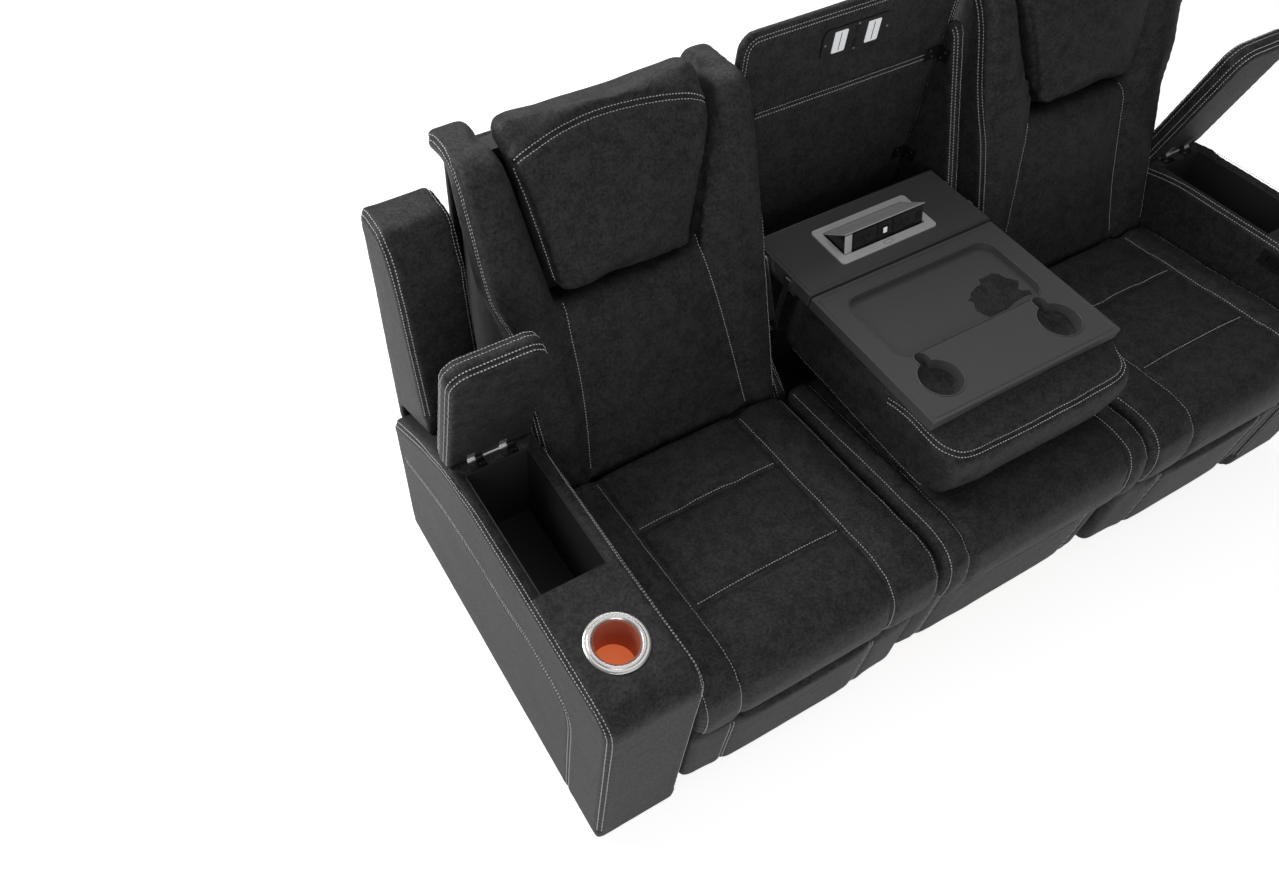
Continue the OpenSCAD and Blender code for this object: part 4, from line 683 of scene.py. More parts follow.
def upholstered(name, part, body, nodes, seams=(), voxel=0.0055, flip=False, cutters=()):
    """A tight leather piece from a slab drawn in millimetres: remeshed evenly, softly creased, sewn, then cut.

    A right piece gets a twin on the left."""
    co, *faces = part
    if flip:
        faces = [f[:, ::-1] for f in faces]
    obj = new_object(name, to_row(co), *faces)
    m = obj.modifiers.new("Skin", "REMESH")
    m.mode, m.voxel_size = "VOXEL", voxel * 1.0
    bake_modifiers(obj)
    co = relax(points_of(obj.data), edges_of(obj.data), 2)
    put_points(obj.data, co)
    n = normals_of(obj.data)
    soft = (value_noise(co, (0.11, 0.11, 0.09), 11) - 0.5) * 2 * TIGHT_CREASE
    warped = co + 0.03 * value_noise(co, 0.06, 2)[:, None]
    fine = np.abs(value_noise(warped, (0.05, 0.05, 0.02), 6) - 0.5) * TIGHT_CREASE
    put_points(obj.data, co + n * (soft - fine)[:, None])
    laid = sew(obj, seams)
    thread = stitches(name + "_thread", obj, laid, body) if laid else None
    if cutters:
        cut_out(obj, cutters)
    dress(obj, body, material("leather"), nodes)
    if "right" in name:
        dress(mirrored(left(name), obj), left(body), material("leather"), tuple(map(left, nodes)))
        if thread:
            dress(mirrored(left(name) + "_thread", thread), left(body), material("thread"))


# Materials


def node_group(name, inputs, outputs):
    """An empty node group with its sockets, and its two ends."""
    g = bpy.data.node_groups.new(name, "ShaderNodeTree")
    for title, kind, value in inputs:
        socket = g.interface.new_socket(title, in_out="INPUT", socket_type="NodeSocket" + kind)
        if value is not None:
            socket.default_value = value
    for title, kind in outputs:
        g.interface.new_socket(title, in_out="OUTPUT", socket_type="NodeSocket" + kind)
    return g, g.nodes.new("NodeGroupInput"), g.nodes.new("NodeGroupOutput")


def add(tree, kind, links=(), **values):
    """A node with its settings and its links from other sockets."""
    n = tree.nodes.new(kind)
    for key, value in values.items():
        if key in n.inputs.keys():
            n.inputs[key].default_value = value
        else:
            setattr(n, key, value)
    for key, source in links:
        tree.links.new(source, n.inputs[key])
    return n


def span(node, low, high, side="To"):
    """Sets one side of a map range node."""
    node.inputs[side + " Min"].default_value, node.inputs[side + " Max"].default_value = low, high
    return node


def grain_group():
    """Leather's pebble grain and its mottled shade, from the place on the object."""
    if "Leather grain" in bpy.data.node_groups:
        return bpy.data.node_groups["Leather grain"]
    inputs = [("Place", "Vector", None), ("Grain", "Float", 520.0), ("Relief", "Float", 0.30)]
    outputs = [("Shade", "Float"), ("Dust", "Float"), ("Normal", "Vector")]
    g, start, end = node_group("Leather grain", inputs, outputs)
    place = start.outputs["Place"]
    warp = add(g, "ShaderNodeTexNoise", [("Vector", place)], Scale=60.0, Detail=3.0)
    bent = add(g, "ShaderNodeMixRGB", [("Color1", place), ("Color2", warp.outputs["Color"])], blend_type="ADD",
               Fac=0.004)
    cells = add(g, "ShaderNodeTexVoronoi", [("Vector", bent.outputs[0]), ("Scale", start.outputs["Grain"])],
                feature="SMOOTH_F1", Smoothness=0.35)
    wide = add(g, "ShaderNodeTexNoise", [("Vector", place)], Scale=34.0, Detail=7.0, Roughness=0.78)
    speck = add(g, "ShaderNodeTexNoise", [("Vector", place)], Scale=170.0, Detail=4.0, Roughness=0.75)
    creases = add(g, "ShaderNodeTexNoise", [("Vector", bent.outputs[0])], Scale=38.0, Detail=6.0, Roughness=0.6)
    height = add(g, "ShaderNodeMath", [(0, cells.outputs["Distance"]), (1, speck.outputs["Fac"])], operation="ADD")
    lift = add(g, "ShaderNodeMath", [(0, creases.outputs["Fac"])], operation="MULTIPLY")
    lift.inputs[1].default_value = 1.6
    total = add(g, "ShaderNodeMath", [(0, height.outputs[0]), (1, lift.outputs[0])], operation="ADD")
    bump = add(g, "ShaderNodeBump", [("Height", total.outputs[0]), ("Strength", start.outputs["Relief"])],
               Distance=0.0009)
    shade = add(g, "ShaderNodeMath", [(0, wide.outputs["Fac"]), (1, speck.outputs["Fac"])], operation="MULTIPLY")
    ramp = span(add(g, "ShaderNodeMapRange", [("Value", shade.outputs[0])]), 0.17, 0.33, "From")
    g.links.new(ramp.outputs["Result"], end.inputs["Shade"])
    g.links.new(wide.outputs["Fac"], end.inputs["Dust"])
    g.links.new(bump.outputs["Normal"], end.inputs["Normal"])
    return g


def wear_group():
    """Faint handling marks and a fine texture for hard parts."""
    if "Hard wear" in bpy.data.node_groups:
        return bpy.data.node_groups["Hard wear"]
    inputs = [("Place", "Vector", None), ("Fine", "Float", 900.0), ("Relief", "Float", 0.1)]
    g, start, end = node_group("Hard wear", inputs, [("Marks", "Float"), ("Normal", "Vector")])
    place = start.outputs["Place"]
    marks = add(g, "ShaderNodeTexNoise", [("Vector", place)], Scale=26.0, Detail=6.0, Roughness=0.7)
    fine = add(g, "ShaderNodeTexNoise", [("Vector", place), ("Scale", start.outputs["Fine"])], Detail=2.0)
    bump = add(g, "ShaderNodeBump", [("Height", fine.outputs["Fac"]), ("Strength", start.outputs["Relief"])],
               Distance=0.0004)
    g.links.new(marks.outputs["Fac"], end.inputs["Marks"])
    g.links.new(bump.outputs["Normal"], end.inputs["Normal"])
    return g


# Colour, roughness, metallic, coat and relief of the hard materials
HARD = {
    "tray": ((0.098, 0.098, 0.102), 0.40, 0.0, 0.0, 0.10),
    "panel": ((0.090, 0.090, 0.093), 0.38, 0.0, 0.0, 0.08),
    "black_plastic": ((0.014, 0.014, 0.015), 0.42, 0.0, 0.0, 0.10),
    "liner": ((0.030, 0.030, 0.031), 0.60, 0.0, 0.0, 0.25),
    "black_steel": ((0.012, 0.012, 0.013), 0.40, 0.2, 0.0, 0.08),
    "zinc": ((0.50, 0.50, 0.51), 0.36, 1.0, 0.0, 0.12),
    "chrome": ((0.94, 0.92, 0.90), 0.27, 0.85, 0.0, 0.02),
    "rubber": ((0.015, 0.015, 0.015), 0.75, 0.0, 0.0, 0.20),
    "lamp": ((0.80, 0.81, 0.83), 0.30, 0.0, 0.3, 0.02),
    "drive": ((0.03, 0.03, 0.033), 0.5, 0.3, 0.0, 0.15),
    # Socket slots: near black, painted shade of the holes, drawn as dark blocks on the plates
    "slot_shade": ((0.002, 0.002, 0.002), 0.7, 0.0, 0.0, 0.05),
    "fascia": ((0.012, 0.013, 0.016), 0.25, 0.0, 0.0, 0.03),
}


# Strength of the light that the lit parts give
LIT = {"glow": 0.45, "lamp": 0.40}


def material(name):
    """The named material, made when it is first asked for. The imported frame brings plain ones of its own."""
    title = "sofa_" + name
    if title in bpy.data.materials:
        return bpy.data.materials[title]
    m = bpy.data.materials.new(title)
    m.use_nodes = True
    tree = m.node_tree
    shader = tree.nodes["Principled BSDF"]
    place = add(tree, "ShaderNodeTexCoord").outputs["Object"]
    c = colours()
    if name == "leather":
        g = add(tree, "ShaderNodeGroup", node_tree=grain_group())
        tree.links.new(place, g.inputs["Place"])
        mix = add(tree, "ShaderNodeMixRGB", [("Fac", g.outputs["Shade"])], Color1=(*c.leather_dark, 1),
                  Color2=(*c.leather, 1))
        rough = span(add(tree, "ShaderNodeMapRange", [("Value", g.outputs["Dust"])]), 0.35, 0.65, "From")
        span(rough, 0.46, 0.64)
        tree.links.new(mix.outputs[0], shader.inputs["Base Color"])
        tree.links.new(rough.outputs["Result"], shader.inputs["Roughness"])
        tree.links.new(g.outputs["Normal"], shader.inputs["Normal"])
        gloss = span(add(tree, "ShaderNodeMapRange", [("Value", g.outputs["Shade"])]), 0.14, 0.34)
        tree.links.new(gloss.outputs["Result"], shader.inputs["Specular IOR Level"])
        shader.inputs["Sheen Weight"].default_value = 0.02
        shader.inputs["Sheen Roughness"].default_value = 0.45
        return m
    if name == "wood":
        bent = add(tree, "ShaderNodeMapping", [("Vector", place)], Scale=(18, 2.0, 18))
        rings = add(tree, "ShaderNodeTexNoise", [("Vector", bent.outputs[0])], Scale=3.0, Detail=6.0, Distortion=1.5)
        mix = add(tree, "ShaderNodeMixRGB", [("Fac", rings.outputs["Fac"])], Color1=(0.16, 0.09, 0.045, 1),
                  Color2=(0.42, 0.29, 0.16, 1))
        tree.links.new(mix.outputs[0], shader.inputs["Base Color"])
        shader.inputs["Roughness"].default_value = 0.65
        return m
    own = {"thread": (tuple(c.thread), 0.7, 0.0, 0.0, 0.3), "silver": (tuple(c.silver), 0.34, 0.15, 0.0, 0.04),
           "cup": (tuple(c.cup), 0.32, 0.0, 0.0, 0.03), "glow": (tuple(c.glow), 0.35, 0.0, 0.2, 0.02)}
    colour, rough, metal, coat, relief = own.get(name) or HARD[name]
    g = add(tree, "ShaderNodeGroup", node_tree=wear_group())
    tree.links.new(place, g.inputs["Place"])
    g.inputs["Relief"].default_value = relief
    spread = span(add(tree, "ShaderNodeMapRange", [("Value", g.outputs["Marks"])]), rough * 0.85, rough * 1.15)
    tree.links.new(spread.outputs["Result"], shader.inputs["Roughness"])
    tree.links.new(g.outputs["Normal"], shader.inputs["Normal"])
    shader.inputs["Base Color"].default_value = (*colour, 1)
    if name in LIT:
        shader.inputs["Emission Color"].default_value = (*colour, 1)
        shader.inputs["Emission Strength"].default_value = LIT[name]
    shader.inputs["Metallic"].default_value = metal
    shader.inputs["Coat Weight"].default_value = coat
    return m


def put(name, parts, body, look, turned=False):
    """A small piece of one look from parts drawn in millimetres."""
    co, *faces = merge(parts)
    faces = [f[:, ::-1] for f in faces] if turned else faces
    return dress(new_object(name, to_row(co), *faces), body, material(look))


def finish_node(node, name, bevel=0.0):
    """Gives a CAD node its material, and rounds its hard edges."""
    obj = NODES[node]
    obj.data.materials.clear()
    obj.data.materials.append(material(name))
    if bevel:
        obj.modifiers.new("Join", "WELD").merge_threshold = 1e-5
        b = obj.modifiers.new("Round", "BEVEL")
        b.width, b.segments, b.limit_method, b.angle_limit = bevel, 3, "ANGLE", math.radians(32)
        b.use_clamp_overlap = True
    return obj


# Pieces


def at_x(x, points):
    """Places in y and z, at one place across the sofa."""
    return [(x, y, z) for y, z in points]


ARM_SEAM = [(946, 410), (884, 449), (775, 514), (722, 540), (638, 577), (526, 597), (405, 599), (272, 600),
            (82, 598), (40, 596), (12, 580), (1, 548), (0, 379), (0, 47)]
PANEL_SEAM = [(906, 314), (751, 372), (594, 415), (418, 428), (293, 447), (189, 438), (142, 415), (125, 350),
              (127, 142), (128, 10)]


def arm_outline():
    """The arm seen from the side: straight front, round top corner, and a top that turns down to a straight slope."""
    turn = np.radians(90 - np.linspace(0, ARM_SLOPE, 12))
    centre = np.array([TOP_TURN_Y, ARM_TOP - TOP_TURN_R])
    arc = centre + TOP_TURN_R * np.stack([np.cos(turn), np.sin(turn)], 1)
    y, z = arc[-1]
    corner = (ARM_DEPTH, z - (ARM_DEPTH - y) * math.tan(math.radians(ARM_SLOPE)))
    pts = [(0, 0), (ARM_DEPTH, 0), corner, *map(tuple, arc[::-1]), (0, ARM_TOP)]
    radii = [8, 8, 30] + [0] * len(arc) + [55]
    return rounded_outline(pts, radii, 5.0)


class SOFA_OT_arms(bpy.types.Operator):
    """Makes both padded arms with their seams and openings"""

    bl_idname = "sofa.arms"
    bl_label = "Arms"

    def execute(self, context):
        co, tris, quads = slab(arm_outline(), 910, 1110, 13, step=7.0, crown=2.0, heart=(430, 300))
        seams = [seam(at_x(1108, ARM_SEAM), rows=TWIN), seam(at_x(912, ARM_SEAM), rows=TWIN),
                 seam(at_x(1110, PANEL_SEAM), rows=TWIN, depth=0.8)]
        cutters = [row_box((913, 283, 595), (1107, 1100, 700), 2, 4),
                   row_box((938.5, 286, 376), (1081.5, 598, 650), 6, 4),
                   solid_cylinder((1013, 137), 44.5, 470, 640),
                   row_box((890, 150, 545), (921, 260, 579), 1, 4)]
        upholstered("right_arm_leather", (yz(co), tris, quads), "base", ("right_arm_cover",), seams,
                    cutters=cutters)
        return {"FINISHED"}


def solid_cylinder(centre, r, z0, z1, around=64):
    """An upright cylinder drawn in millimetres, in the row frame."""
    a = np.linspace(0, 2 * math.pi, around, endpoint=False)
    ring = np.stack([centre[0] + r * np.cos(a), centre[1] + r * np.sin(a)], 1)
    co = np.vstack([np.column_stack([ring, np.full(around, z)]) for z in (z0, z1)] + [[[*centre, z0], [*centre, z1]]])
    j = np.arange(around)
    k = (j + 1) % around
    low_cap = np.stack([np.full(around, 2 * around), k, j], 1)
    high_cap = np.stack([np.full(around, 2 * around + 1), around + j, around + k], 1)
    return to_row(co), np.vstack([low_cap, high_cap]), np.stack([j, k, around + k, around + j], 1)


class SOFA_OT_cup_holders(bpy.types.Operator):
    """Makes the chrome rings and their coloured cups"""

    bl_idname = "sofa.cup_holders"
    bl_label = "Cup holders"

    def execute(self, context):
        corners = [(43.6, 590), (46.0, 590), (46.0, 605), (60, 605), (60, 607.4), (56.8, 609.2), (52.6, 609.4),
                   (51.4, 611), (46.4, 611), (43.6, 608)]
        flange = rounded_outline(corners, [0.3, 0.3, 0.3, 0.8, 1.2, 2.0, 0.6, 0.8, 1.8, 1.8], 0.7, 6)
        co, quads = lathe(flange, (1013, 137, 0), 144)
        ring = new_object("right_cup_ring", to_row(co), quads)
        dress(ring, "base", material("chrome"), ("cup_rings",))
        dress(mirrored("left_cup_ring", ring), "base", material("chrome"))
        finish_node("cup_liners", "cup")
        finish_node("cup_lenses", "glow", 0.0008)
        return {"FINISHED"}


class SOFA_OT_lids(bpy.types.Operator):
    """Makes the padded lids of the storage boxes, standing open"""

    bl_idname = "sofa.lids"
    bl_label = "Lids"

    def execute(self, context):
        outline = rounded_outline([(912.5, 286), (1107.5, 286), (1107.5, 627), (912.5, 627)], [38, 38, 8, 8], 4.0)
        co, tris, quads = slab(outline, 601, 650, 9, step=6.0, crown=2.5)
        co = turn_x(co, LID_PIN, LID_OPEN)
        loops = []
        for level in (611, 641):
            ring = np.column_stack([outline, np.full(len(outline), level)])
            ring = ring[ring[:, 1] < 618]
            ring = opened(ring)
            loops.append(dict(path=turn_x(ring, LID_PIN, LID_OPEN), rows=TWIN, depth=0.9))
        upholstered("right_lid_leather", (co, tris, quads), "right_lid", ("right_lid",), loops,
                    voxel=0.004)
        for s, _ in SIDES:
            finish_node(f"{s}_lid_hinge", "chrome", 0.0005)
            finish_node(f"{s}_storage_liner", "liner", 0.001)
        finish_node("lid_fixed_leaves", "black_steel", 0.0004)
        return {"FINISHED"}


def slope_level(y):
    """The level of the arm's slope under the wing at a place in depth."""
    return 559.4 - (y - 719) * 0.6249 + 0.3


class SOFA_OT_wings(bpy.types.Operator):
    """Makes the wings that stand on the sloping rear of the arms"""

    bl_idname = "sofa.wings"
    bl_label = "Wings"

    def execute(self, context):
        pts = [(772, slope_level(772)), (780, slope_level(780) + 50), (814, 784), (828, 893), (868, 992), (979, 992),
               (979, 377.5), (950, 383.5), (950, slope_level(950) + 30)]
        radii = [0, 40, 120, 60, 40, 24, 12, 0, 8]
        outline = rounded_outline(pts[::-1], radii[::-1], 4.0)
        co, tris, quads = slab(outline, 938, 1082, 11, step=6.0, crown=2.5, heart=(905, 720))
        side = [(952, 990), (915, 991), (880, 987), (853, 957), (838, 919), (824, 861), (814, 785), (802, 708),
                (779, 575)]
        outer, inner = at_x(1079, [(975, 960), (968, 985), *side]), at_x(942, [(970, 985), *side])
        upholstered("right_wing_leather", (yz(co), tris, quads), "base", ("right_wing",),
                    [seam(outer, rows=TWIN), seam(inner, rows=TWIN)], voxel=0.0045)
        return {"FINISHED"}


def seat_line(x, rows, depth=1.0):
    """A seam that runs from the rear of a seat over its front roll, at one place across it."""
    side = [(534, 464), (450, 470), (379, 474), (280, 482), (173, 486), (100, 490), (50, 484), (12, 460), (-8, 420),
            (-12, 370), (-6, 322)]
    return seam(at_x(x, side), rows=rows, depth=depth)


class SOFA_OT_seats(bpy.types.Operator):
    """Makes the outer seats' cushions"""

    bl_idname = "sofa.seats"
    bl_label = "Outer seats"

    def execute(self, context):
        lines = [seat_line(444, (-0.007,), 1.2), seat_line(805, (0.007,), 1.2), seat_line(317, (0.004,), 0.7),
                 seat_line(898, (-0.004,), 0.7)]
        for y in (379, 173):
            path = [(448, y, 474), (530, y, 480), (625, y, 482), (720, y, 480), (801, y, 474)]
            lines.append(seam(path, rows=(0.006,), depth=1.3, width=1.2))
        cushion("right_seat_leather", "right_seat_cushion", "base", lines, 0.010)
        return {"FINISHED"}


class SOFA_OT_centre_seat(bpy.types.Operator):
    """Makes the centre seat's cushion and the pad below it"""

    bl_idname = "sofa.centre_seat"
    bl_label = "Centre seat"

    def execute(self, context):
        lines = [seat_line(s * 233, (s * 0.006,), 1.0) for s in (1, -1)]
        lines += [seat_line(s * 295, (s * -0.003,), 0.7) for s in (1, -1)]
        cushion("centre_seat_leather", "centre_seat_cushion", "base", lines, 0.010)
        pad = [seam(at_x(s * 233, [(12, 290), (10, 180), (12, 68)]), rows=(0.004, -0.004), depth=0.8) for s in (1, -1)]
        cushion("centre_front_leather", "centre_front_pad", "base", pad, 0.006)
        return {"FINISHED"}


class SOFA_OT_backs(bpy.types.Operator):
    """Makes the outer backs' cushions and rear covers"""

    bl_idname = "sofa.backs"
    bl_label = "Backs"

    def execute(self, context):
        side = [(972, 1085), (958, 1098), (920, 1102), (878, 1096), (847, 1074), (820, 1033), (793, 976), (764, 911),
                (732, 853), (709, 816)]
        foot = [(676, 745), (645, 672), (618, 610), (590, 545), (560, 470)]
        outer = at_x(929, side) + [(x, y, z) for x, (y, z) in zip((926, 918, 905, 902, 902), foot)]
        inner = at_x(311, side + foot)
        lumbar_out = [(782, 734, 813), (786, 694, 768), (784, 655, 673), (788, 615, 573), (801, 570, 458)]
        lumbar_in = [(462, 750, 840), (457, 704, 793), (437, 669, 707), (414, 621, 586), (390, 568, 450)]
        lines = [seam(outer, rows=TWIN, depth=0.9), seam(inner, rows=TWIN, depth=0.9),
                 seam(lumbar_out, rows=(0.0,), depth=0.5), seam(lumbar_in, rows=(0.0,), depth=0.5)]
        cushion("right_back_leather", "right_back_cushion", "right_back", lines, 0.010)
        outline = rounded_outline([(307.5, 441), (905.5, 441), (905.5, 1061), (307.5, 1061)], [10, 10, 10, 10], 8.0)
        co, tris, quads = slab(outline, 961, 980, 6, step=10.0, crown=1.0)
        upholstered("right_back_cover_leather", (xz(co), tris, quads), "right_back", ("right_back_cover",),
                    voxel=0.009, flip=True)
        return {"FINISHED"}


class SOFA_OT_headrests(bpy.types.Operator):
    """Makes the headrest pillows"""

    bl_idname = "sofa.headrests"
    bl_label = "Headrests"

    def execute(self, context):
        top = [(829, 834, 1079), (792, 833, 1097), (725, 843, 1110), (639, 849, 1115), (534, 843, 1110),
               (450, 833, 1097), (420, 832, 1075)]
        outer = [(829, 834, 1079), (824, 803, 1046), (814, 770, 978), (806, 745, 915), (798, 730, 863)]
        inner = [(420, 832, 1075), (430, 803, 1046), (444, 770, 978), (458, 745, 915), (470, 735, 868)]
        lines = [seam(top, rows=TWIN), seam(outer, rows=(0.005,)), seam(inner, rows=(), depth=0.6)]
        cushion("right_headrest_leather", "right_headrest", "right_headrest", lines, 0.012)
        return {"FINISHED"}


class SOFA_OT_footrests(bpy.types.Operator):
    """Makes the footrest pads"""

    bl_idname = "sofa.footrests"
    bl_label = "Footrests"

    def execute(self, context):
        path = [(-5, 288), (-5, 180), (-5, 72)]
        lines = [seam(at_x(x, path), rows=(0.004, -0.004), depth=0.9) for x in (444, 805)]
        cushion("right_footrest_leather", "right_footrest_pad", "right_footrest", lines, 0.007)
        return {"FINISHED"}


class SOFA_OT_shell(bpy.types.Operator):
    """Makes the centre back's rear panel, walls and floor"""

    bl_idname = "sofa.shell"
    bl_label = "Centre back shell"

    def execute(self, context):
        outline = rounded_outline([(-303, 50), (303, 50), (297, 1145), (-297, 1145)], [6, 6, 34, 34], 6.0)
        co, tris, quads = slab(outline, 882.5, 905, 8, step=9.0, crown=0.5, heart=(0, 600))
        inset = outline - outline_normals(outline) * 14
        border = np.array([(x, 882, z) for x, z in inset[inset[:, 1] > 360]])
        border = opened(border)
        cross = [(-270, 882, 955), (0, 882, 955), (270, 882, 955)]
        seams = [dict(path=border, rows=(0.004, -0.004), depth=0.7), seam(cross, rows=TWIN, depth=0.9)]
        upholstered("centre_shell_panel", (xz(co), tris, quads), "base", ("centre_back_shell",),
                    seams, voxel=0.0065, flip=True)
        corners = [(554, 50), (883, 50), (883, 1030), (856, 1030), (640, 494), (554, 428)]
        wall = rounded_outline(corners, [6, 0, 0, 28, 20, 20], 5.0)
        co, tris, quads = slab(wall, 273.3, 303, 8, step=8.0, crown=0.6, heart=(720, 380))
        edge = [(866, 1022), (850, 1010), (800, 886), (750, 762), (700, 638), (650, 514), (600, 470), (558, 420)]
        seams = [seam(at_x(x, edge), rows=(0.004, -0.004), depth=0.7) for x in (277, 300)]
        upholstered("centre_shell_right_wall", (yz(co), tris, quads), "base", (), seams)
        floor = row_box((-273, 556, 330), (273, 883, 343), 4)
        dress(new_object("centre_shell_floor", *floor), "base", material("leather"))
        return {"FINISHED"}


class SOFA_OT_lights(bpy.types.Operator):
    """Finishes the light panel with its lamps, switches and brackets"""

    bl_idname = "sofa.lights"
    bl_label = "Light panel"

    def execute(self, context):
        finish_node("light_panel", "black_plastic", 0.0008)
        finish_node("reading_lamps", "lamp", 0.0008)
        for node in ("light_switch_upper", "light_switch_lower"):
            finish_node(node, "fascia", 0.0003)
        finish_node("recess_brackets", "black_steel", 0.0006)
        parts = [row_box((s * 44 - 0.7, 877.2, 1052), (s * 44 + 0.7, 880, 1090), 0.2) for s in (1, -1)]
        dress(new_object("lamp_centre_lines", *merge(parts)), "base", material("black_plastic"))
        finish_node("small_screws", "zinc", 0.0003)
        return {"FINISHED"}


def on_console(points):
    """Points of the level console as it lies, tilted about its pivot."""
    return turn_x(np.asarray(points, float), CONSOLE_PIN, CONSOLE_TILT)


def flat_ring(outline, z):
    """A flat outline set at a level."""
    return np.column_stack([outline, np.full(len(outline), z)])


def across(points, middle):
    """A path from the right to the left: its right half, its middle point and the half's mirror."""
    return [*points, middle, *((-x, y, z) for x, y, z in points[::-1])]


def mug_outline(grow, sign=1):
    """The mug holder's outline: a wide circle with a small neck behind it."""
    r, n = 46 + grow, 14 + grow
    meet = math.asin(n / r)
    a = np.linspace(math.pi / 2 + meet, 2 * math.pi + math.pi / 2 - meet, 60)
    big = np.stack([166 + r * np.cos(a), 286 + r * np.sin(a)], 1)
    b = np.linspace(0, math.pi, 20)
    small = np.stack([166 + n * np.cos(b), 344 + n * np.sin(b)], 1)
    return np.vstack([big, small]) * (sign, 1)


class SOFA_OT_console(bpy.types.Operator):
    """Makes the console's cushion and finishes its tray and rear panel"""

    bl_idname = "sofa.console"
    bl_label = "Console"

    def execute(self, context):
        nose = across([(262, 320, 655), (258, 280, 664), (255, 221, 666), (247, 170, 655), (215, 140, 650),
                       (120, 134, 650)], (0, 132, 650))
        low = across([(262, 600, 532), (262, 400, 532), (262, 200, 532), (245, 130, 535), (200, 112, 535)],
                     (0, 108, 535))
        lines = [seam(on_console(nose), rows=TWIN), seam(on_console(low), rows=(0.005,))]
        cushion("console_leather", "console_cushion", "console", lines, 0.010, crease=0.0022)
        finish_node("console_tray", "tray", 0.0012)
        finish_node("console_rear_panel", "panel", 0.0015)
        finish_node("console_arms", "zinc", 0.0006)
        lips = []
        recess = rounded_outline([(-205, 360), (205, 360), (205, 544), (-205, 544)], [34] * 4, 4.0)
        lips.append(tube(on_console(flat_ring(recess + outline_normals(recess) * 1.5, 705.2)), 1.7, closed=True))
        edge = rounded_outline([(-251, 213), (251, 213), (251, 575), (-251, 575)], [8] * 4, 5.0)
        lips.append(tube(on_console(flat_ring(edge, 705.0)), 1.1, closed=True))
        for s in (1, -1):
            m = mug_outline(1.6, s)
            m = m if s > 0 else m[::-1]
            lips.append(tube(on_console(flat_ring(m, 705.2)), 1.7, closed=True))
        put("console_tray_lips", lips, "console", "tray")
        border = rounded_outline([(-252, 597), (252, 597), (252, 778), (-252, 778)], [8] * 4, 5.0)
        ridges = [tube(on_console(flat_ring(border, 709.0)), 1.1, closed=True)]
        for y in (590, 784):
            ridges.append(tube(on_console([(x, y, 708.6) for x in (-258, 0, 258)]), 1.5))
        put("console_panel_border", ridges, "console", "panel")
        return {"FINISHED"}


def box_place(points):
    """Points of the power box, from its pivot, as it stands open on the console."""
    return on_console(turn_x(points, (0, 0), -36) + (0, 723, 706))


def face_box(x0, x1, u0, u1, o0, o1, r, lean=0.0):
    """A small block set on the power box's front face: across, up the face and out of it."""
    co, *faces = bevelled_box((x0, u0, o0), (x1, u1, o1), r, 2)
    co[:, 0] += lean * (co[:, 1] - (u0 + u1) / 2)
    x, up, out = co.T
    return (box_place(np.stack([x, -56.6 - 0.29 * up - 0.957 * out, -41.2 + 0.957 * up - 0.29 * out], 1)), *faces)


class SOFA_OT_power_unit(bpy.types.Operator):
    """Finishes the pop-up box with its sockets"""

    bl_idname = "sofa.power_unit"
    bl_label = "Power unit"

    def execute(self, context):
        finish_node("power_bezel", "silver", 0.0008)
        finish_node("power_box", "fascia", 0.0008)
        plates, slot_shade = [], []
        for x in (-55, 58):
            plates.append(face_box(x - 32, x + 32, 2, 44, -0.5, 1.2, 0.8))
            # Each slot is a near-black block on its plate: painted shade in place of a hole
            for dx, u, lean in ((-9, 28, 0.5), (9, 28, -0.5), (0, 14, 0.0)):
                slot_shade.append(face_box(x + dx - 1.4, x + dx + 1.4, u - 4.5, u + 4.5, 0.6, 1.7, 0.2, lean))
        plates.append(face_box(-18, 21, 2, 44, -0.5, 1.2, 0.8))
        # The middle port's slot is likewise a near-black block: painted shade in place of a hole
        slot_shade.append(face_box(-8, 11, 12, 35, 0.6, 1.8, 0.4))
        light = [face_box(-4, 7, 17, 30, 1.0, 2.6, 0.8)]
        silver = [face_box(-113, -93, -1, 46, -1.0, 1.4, 0.9)]
        lid = bevelled_box((-114.5, -73.5, 5.4), (114.5, 1.0, 7.4), 0.8, 3)
        silver.append((box_place(lid[0]), *lid[1:]))
        for name, parts, look, turned in (
            ("socket_plates", plates, "black_plastic", True),
            # The slots' near-black material is painted shade of the holes
            ("socket_slots", slot_shade, "slot_shade", True),
            ("socket_light", light, "lamp", True),
            ("power_end_cap", silver[:1], "silver", True),
            ("power_lid", silver[1:], "silver", False),
        ):
            put(name, parts, "power_box", look, turned)
        a = np.linspace(0, 2 * math.pi, 40, endpoint=False)
        oval = np.stack([13 * np.cos(a), 638.5 + 5 * np.sin(a), np.full(40, 712.2)], 1)
        put("power_button_ring", [tube(on_console(oval), 0.7, closed=True)], "console", "zinc")
        return {"FINISHED"}


# Bevels of the frames' and the hardware's nodes, by look; right nodes stand for the left ones too
HARDWARE = {
    "wood": {"base_frame": 0.001, "arm_frames": 0, "seat_frames": 0.0006, "centre_seat_box": 0.001,
             "right_footrest_board": 0.0008},
    "rubber": {"feet": 0.001},
    "black_steel": {"mechanism_plates": 0.0005},
    "drive": {"actuators": 0.001},
    "black_plastic": {"switch_plates": 0.0006, "power_inlet": 0.0005},
    "liner": {"right_back_frame": 0.0006},
    "zinc": {"right_rear_links": 0.0004, "right_front_links": 0.0004},
    "fascia": {"right_recline_switch": 0.0004, "right_headrest_switch": 0.0004},
}


